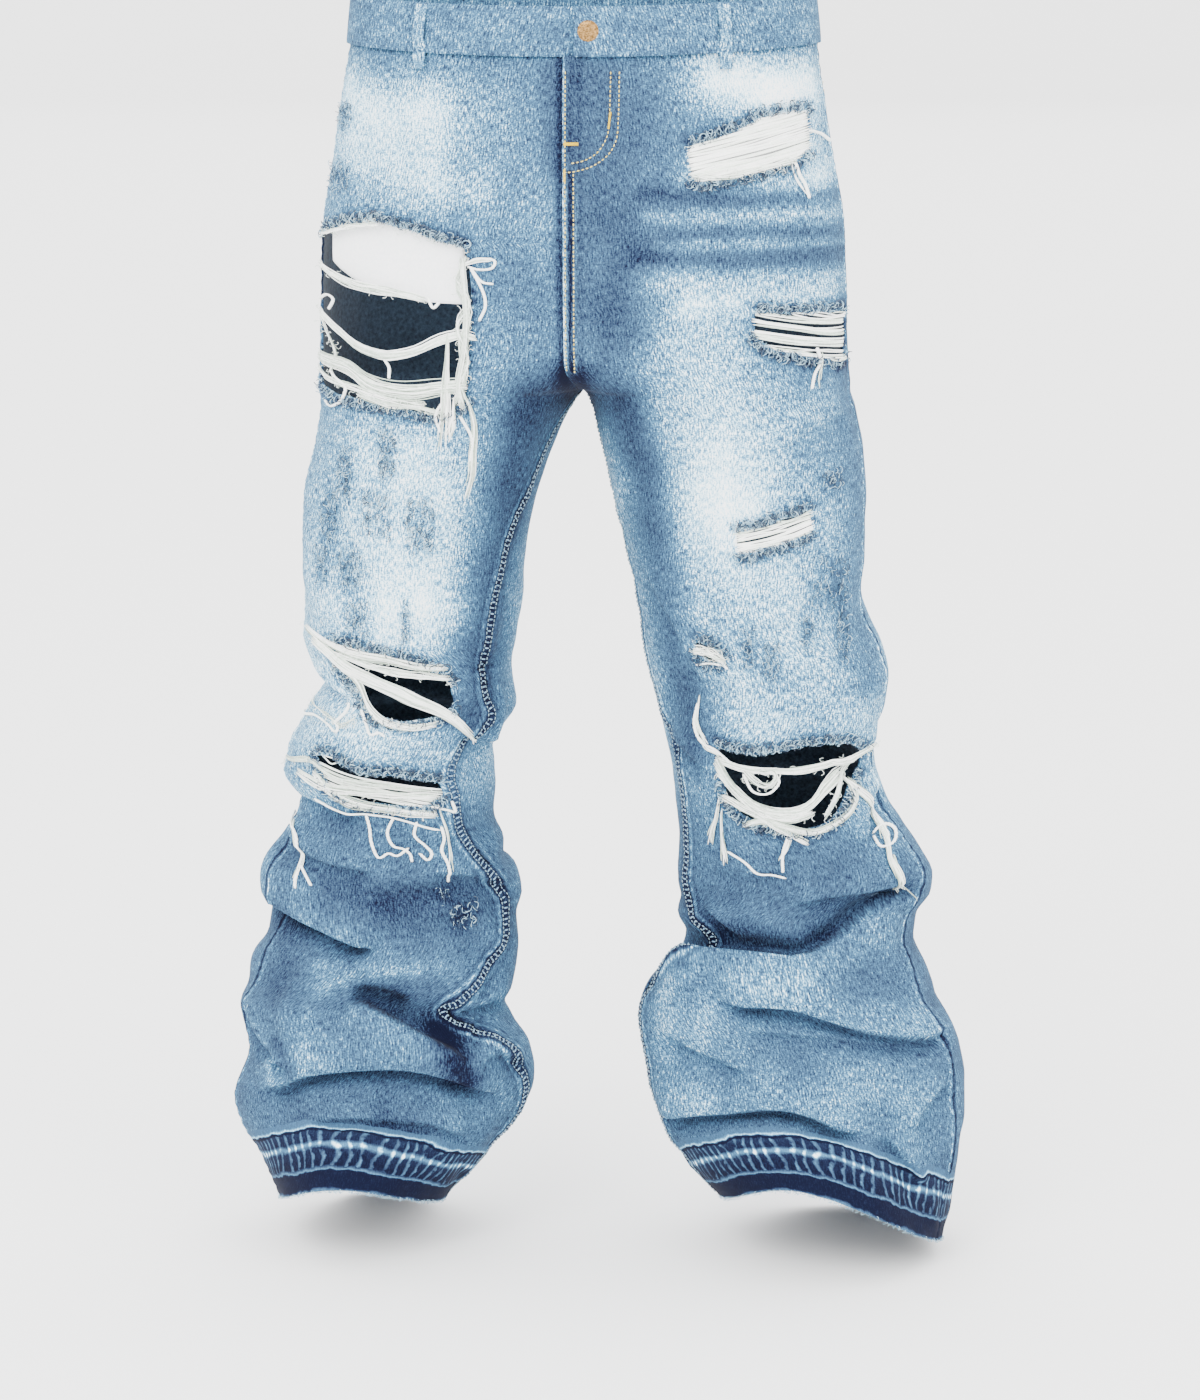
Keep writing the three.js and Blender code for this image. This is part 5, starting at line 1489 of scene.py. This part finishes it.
def fringe(name, rips, upper, length, pitch, material, thick, seed, down=False):
    """Frayed yarn ends along one side of each rip."""
    points, along, out = [], [], []
    for rip in rips:
        leg, _ = RIPS[rip]
        line, away = edge_points(rip, upper, pitch)
        line = line + away * RNG.uniform(-1.5, 3.5, (len(line), 1))
        place, facing = front_at(leg, line[:, 0], line[:, 1])
        tip, _ = front_at(leg, line[:, 0] + away[:, 0] * 4, line[:, 1] + away[:, 1] * 4)
        way = unit(tip - place)
        if down:
            way = unit(-way * 0.4 + np.array([0, -0.2, -1.0]))
        points.append(place + facing * 0.5)
        along.append(unit(way + facing * 0.18))
        out.append(facing)
    return repeated(name, FRINGE, np.concatenate(points), np.concatenate(along), np.concatenate(out),
                    Length=length, Thickness=thick, Spread=0.8, Seed=seed, Material=material)


for one_leg in SIDE:
    rips = [rip for rip, (leg, _) in RIPS.items() if leg == one_leg]
    for seed, (label, upper, length, pitch, material, thick) in enumerate((
            ("upper", True, 8.5, 0.8, WARP_FRAY, 0.46), ("lower", False, 8, 0.8, WARP_FRAY, 0.46),
            ("dark_upper", True, 9, 0.6, DARK_FRAY, 0.48),
            ("dark_lower", False, 8.5, 0.6, DARK_FRAY, 0.48)), 3):
        TRIMS[one_leg].append(fringe(f"{label}_fringe_{one_leg}", rips, upper, length, pitch, material,
                                     thick, seed))
TRIMS["right"].append(fringe("drop_fringe_right", ["thigh", "knee_right"], True, 6, 2.0, FLUFF, 0.4, 8,
                             down=True))

# Bunches of loose ends: route, number of threads, spread at the tips
TASSELS = {
    "right": [
        ([(93, -238), (95, -264), (97, -298), (100, -329)], 18, 6.5),
        ([(84, -276), (76, -306), (78, -330), (80, -350), (86, -368)], 22, 4.6),
        ([(80, -184), (70, -181), (58, -180)], 7, 2.5),
        ([(90, -286), (92, -306), (98, -322)], 10, 5.0),
        ([(226, -636), (224, -656), (226, -680)], 7, 2.5),
        ([(88, -549), (84, -556), (80, -566)], 6, 3.0),
        ([(110, -610), (104, -640), (103, -670)], 4, 2.0),
    ],
    "left": [
        ([(114, -600), (111, -618), (107, -632), (106, -645)], 9, 2.4),
        ([(116, -611), (115, -627), (116, -639), (119, -661)], 8, 2.4),
        ([(170, -630), (166, -642), (161, -652)], 5, 2.0),
        ([(211, -586), (224, -602), (236, -618), (245, -638), (247, -653), (255, -671), (260, -690)],
            20, 3.2),
        ([(215, -588), (230, -606), (240, -626), (244, -640)], 14, 2.6),
        ([(250, -652), (257, -672), (263, -693)], 9, 4.0),
        ([(164, -108), (168, -120), (175, -134)], 2, 0.8),
        ([(188, -254), (187, -268), (185, -282)], 3, 0.8),
        ([(97, -520), (96, -543), (104, -560)], 7, 1.8),
        ([(114, -566), (104, -561), (96, -552)], 6, 2.4),
    ],
}
for one_leg, tassels in TASSELS.items():
    hanging = [path for route, count, wide in tassels for path in tassel(one_leg, route, count, wide)]
    TRIMS[one_leg].append(strands(f"loose_threads_{one_leg}", hanging, THREAD))

for one_leg in SIDE:
    points, along, out = [], [], []
    for leg, x, z, wide, tall, count in ABRASIONS:
        if leg != one_leg:
            continue
        count *= 2
        px = x + RNG.uniform(-0.5, 0.5, count) * wide
        pz = z + RNG.uniform(-0.5, 0.5, count) * tall
        place, facing = front_at(leg, px, pz)
        points.append(place + facing * 0.4)
        along.append(unit(np.stack([RNG.normal(0, 0.35, count), RNG.normal(0, 0.1, count),
                                    RNG.choice([-1, 1], count)], axis=1) + facing * 0.1))
        out.append(facing)
    every = [np.concatenate(a) for a in (points, along, out)]
    half = np.arange(len(every[0])) % 2 < 1
    for label, pick, material in (("dark", half, DARK_FRAY), ("pale", ~half, WARP_FRAY)):
        TRIMS[one_leg].append(repeated(f"{label}_rubbed_spots_{one_leg}", FRINGE, *(a[pick] for a in every),
                                       Length=7, Thickness=0.36, Spread=0.5, Seed=21,
                                       Material=material))


def hem_fray(leg):
    """Short yarn ends all round the raw hem."""
    ends = 620             # yarn ends round one hem
    place, facing, _ = folded(leg, np.linspace(-180, 180, ends), np.full(ends, HEM[leg] + 1.5))
    down = np.stack([RNG.normal(0, 0.25, ends), RNG.normal(0, 0.25, ends), -np.ones(ends)], axis=1)
    return repeated(f"hem_fray_{leg}", FRINGE, place - facing * 0.7, unit(down), facing, Length=4.5,
                    Thickness=0.3, Spread=0.5, Seed=31, Material=WARP_FRAY)


for one_leg in SIDE:
    TRIMS[one_leg].append(hem_fray(one_leg))

J_INNER = [(31, -30), (30.5, -60), (30, -72), (28.5, -84), (22, -96), (12, -103), (2, -105.5)]
J_OUTER = [(37.5, -30), (37, -66), (35.5, -86), (29, -99), (17, -108), (4, -112), (-3, -112.5)]
FLY_EDGE = [(-2.8, -30), (-2.8, -130), (-2.8, -264)]
FLY_FOOT = [(3.6, -113), (3.6, -180), (3.6, -266)]
FLY_LINES = [("left", front_line("left", route)) for route in (J_INNER, J_OUTER, FLY_EDGE, FLY_FOOT)]
# Bar tacks at the fly: two ends of each, and the thread's reach across it
TACKS = [([(-4, -90), (7, -90)], 3.4), ([(-3.2, -110), (-3.2, -120)], 2.4), ([(31, -64), (29.5, -78)], 2.2)]


def lapped(points, along, out):
    """Lifts stitches on the front's folded edge, which stands proud."""
    return points + out * (FLY_RISE * smooth(*FLY_FOLD, points[:, 0]))[:, None], along, out


TRIMS["left"].append(repeated("fly_stitches", STITCHING, *lapped(*stitched(FLY_LINES, 0.5)),
                              Length=2.7, Width=1.15, Material=CREAM_THREAD))
for number, (ends, reach) in enumerate(TACKS, 1):
    sewn = stitched([("left", front_line("left", ends))], 0.7, 0.8, True)
    TRIMS["left"].append(repeated(f"bar_tack_{number}", STITCHING, *lapped(*sewn), Length=reach,
                                  Width=1.0, Material=YELLOW_THREAD))
for one_leg in SIDE:
    rows = [(one_leg, beside_edge(one_leg, INSEAM, inset, -292, HEM[one_leg] + 4)) for inset in (2.0, 8.5)]
    TRIMS[one_leg].append(repeated(f"inseam_stitches_{one_leg}", STITCHING, *stitched(rows, 0.45),
                                   Length=2.6, Width=0.95, Material=PALE_THREAD))
    between = [(one_leg, beside_edge(one_leg, INSEAM, 5.2, -294, HEM[one_leg] + 14))]
    TRIMS[one_leg].append(repeated(f"inseam_ridges_{one_leg}", STITCHING, *stitched(between, -0.1, 4.6, True),
                                   Length=5.4, Width=1.5, Material=SEAM_RIDGE))
    t = np.linspace(0, 1, 60)
    yoke_lines = []
    for drop in (3.0, 9.0):
        z = yoke_seam(t) - drop
        _, back, outer = edges(one_leg, z)
        yoke_lines.append((one_leg, list(zip(outer + (back - outer) * t, z))))
    pocket_lines = []
    for inset in (3.0, 9.0):
        left_x, right_x = POCKET_NEAR + inset, POCKET_FAR - inset
        corners = [(left_x, -88), (left_x, -236), ((left_x + right_x) / 2, -256 + inset / 3), (right_x, -236),
                   (right_x, -98)]
        route = spread(corners, 160)
        pocket_lines.append((one_leg, [(float(angle_at(one_leg, np.array(x), np.array(z), True)), z)
                                       for x, z in route]))
    backs = [stitched(yoke_lines, 0.3), stitched(pocket_lines, 2.4)]
    TRIMS[one_leg].append(repeated(f"back_stitches_{one_leg}", STITCHING,
                                   *(np.concatenate(a) for a in zip(*backs)),
                                   Length=2.6, Width=0.8, Material=CREAM_THREAD))

# ---------------------------------------------------------------------------------- camera, stage
CAMERA_AT = (0.2833, -3.0892, 0.0087)
CAMERA_AIM = (0.01295, 0.00113, -0.53826)
LENS = 101.24              # millimetres on a 36 mm sensor


def look_at(item, target):
    item.rotation_euler = (Vector(target) - Vector(item.location)).to_track_quat("-Z", "Y").to_euler()


camera = placed("camera", bpy.data.cameras.new("camera"))
camera.location = CAMERA_AT
camera.data.lens = LENS
camera.data.sensor_width = 36
look_at(camera, CAMERA_AIM)
bpy.context.scene.camera = camera

# A round floor that turns up into a wall far behind, so that no edge of it shows
floor_mesh = bpy.data.meshes.new("floor")
FLOOR = CAD_BOX[0][2] - 0.004
REACH, WALL, AROUND = 40.0, 9.0, 96
ring = [(math.cos(2 * math.pi * k / AROUND), math.sin(2 * math.pi * k / AROUND)) for k in range(AROUND)]
rim = [(REACH + 6 * math.sin(turn), FLOOR + WALL * (1 - math.cos(turn)))
       for turn in np.linspace(0, math.pi / 2, 7)]
corner = lambda row, k: 1 + row * AROUND + k % AROUND
floor_mesh.from_pydata(
    [(0, 0, FLOOR)] + [(reach * x, reach * y, level) for reach, level in rim for x, y in ring], [],
    [(0, corner(0, k), corner(0, k + 1)) for k in range(AROUND)]
    + [(corner(row, k), corner(row + 1, k), corner(row + 1, k + 1), corner(row, k + 1))
       for row in range(len(rim) - 1) for k in range(AROUND)])
soften(floor_mesh)
floor = placed("floor", floor_mesh)
floor_mesh.materials.append(
    new_material("pale_matt_floor", {"Roughness": 0.9, "Base Color": linear("#F4F4F4")})[0])

world = bpy.data.worlds.new("studio")
world.use_nodes = True
world.node_tree.nodes["Background"].inputs[0].default_value = (1, 1, 1, 1)
world.node_tree.nodes["Background"].inputs[1].default_value = 0.35
bpy.context.scene.world = world
# A high front softbox makes the folds read, a wide ceiling one keeps the floor pale
for label, place, target, size, power in (
        ("key", (-0.9, -3.0, 1.9), (0, 0, -0.5), 1.8, 140), ("fill", (2.4, -2.6, 0.9), (0, 0, -0.5), 1.8, 50),
        ("ceiling", (0, 0, 11.0), (0, 0, -1.0), 88.0, 90000)):
    light = placed(label, bpy.data.lights.new(label, "AREA"))
    light.data.size = size
    light.data.energy = power
    light.location = place
    look_at(light, target)

# ---------------------------------------------------------------------------------- attach
for node_name, piece in PIECES.items():
    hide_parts(node_name)
    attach(piece, "root")
for trims in TRIMS.values():
    for piece in trims:
        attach(piece, "root")

# Each sheet as it was cut: width, length and area in metres, what it hangs from, and what is on it
CUT_SHEETS = {
    "front_right": (0.334, 0.985, 0.236, ["waistband"]), "front_left": (0.332, 0.988, 0.252, ["waistband"]),
    "back_right": (0.371, 0.952, 0.318, ["yoke_right"]), "back_left": (0.382, 0.959, 0.315, ["yoke_left"]),
    "yoke_right": (0.262, 0.061, 0.0127, ["waistband"]), "yoke_left": (0.262, 0.061, 0.0126, ["waistband"]),
    "back_pocket_right": (0.132, 0.168, 0.0208, ["back_right"]),
    "back_pocket_left": (0.132, 0.168, 0.0208, ["back_left"]),
    "pocket_bag_right": (0.177, 0.194, 0.0274, ["waistband"]),
    "pocket_bag_left": (0.178, 0.194, 0.0274, ["waistband"]),
    "fly_shield": (0.040, 0.104, 0.0037, ["waistband"]), "waistband": (1.001, 0.037, None, ["button"]),
    "belt_loop_1": (0.011, 0.049, None, ["waistband"]), "belt_loop_2": (0.011, 0.049, None, ["waistband"]),
    "belt_loop_3": (0.010, 0.050, None, ["waistband"]), "belt_loop_4": (0.010, 0.050, None, ["waistband"]),
    "belt_loop_5": (0.014, 0.051, None, ["waistband"]),
}
THREADS_ON = {"right": ["ladder_knee", "threads_thigh_upper", "threads_thigh_lower", "threads_knee_right"],
              "left": ["ladder_pocket", "ladder_hip", "ladder_thigh", "threads_knee_left"]}
for one_leg, trims in TRIMS.items():
    for piece in trims:
        stitched_on = "back" if piece.name.startswith("back_stitches") else "front"
        THREADS_ON.setdefault(f"{stitched_on}_{one_leg}", []).append(piece)
for node_name, (wide, tall, cut_area, above) in CUT_SHEETS.items():
    panel_name, _, one_leg = node_name.partition("_")
    on_it = list(THREADS_ON.get(node_name, []))
    if panel_name == "front":
        on_it += [PIECES[name] for name in THREADS_ON[one_leg]]

for node_name in ("button", "zip_tape", "zip_slider"):
    holder = bpy.data.objects[node_name]
    holder.data.materials.clear()
    holder.data.materials.append(BRASS)
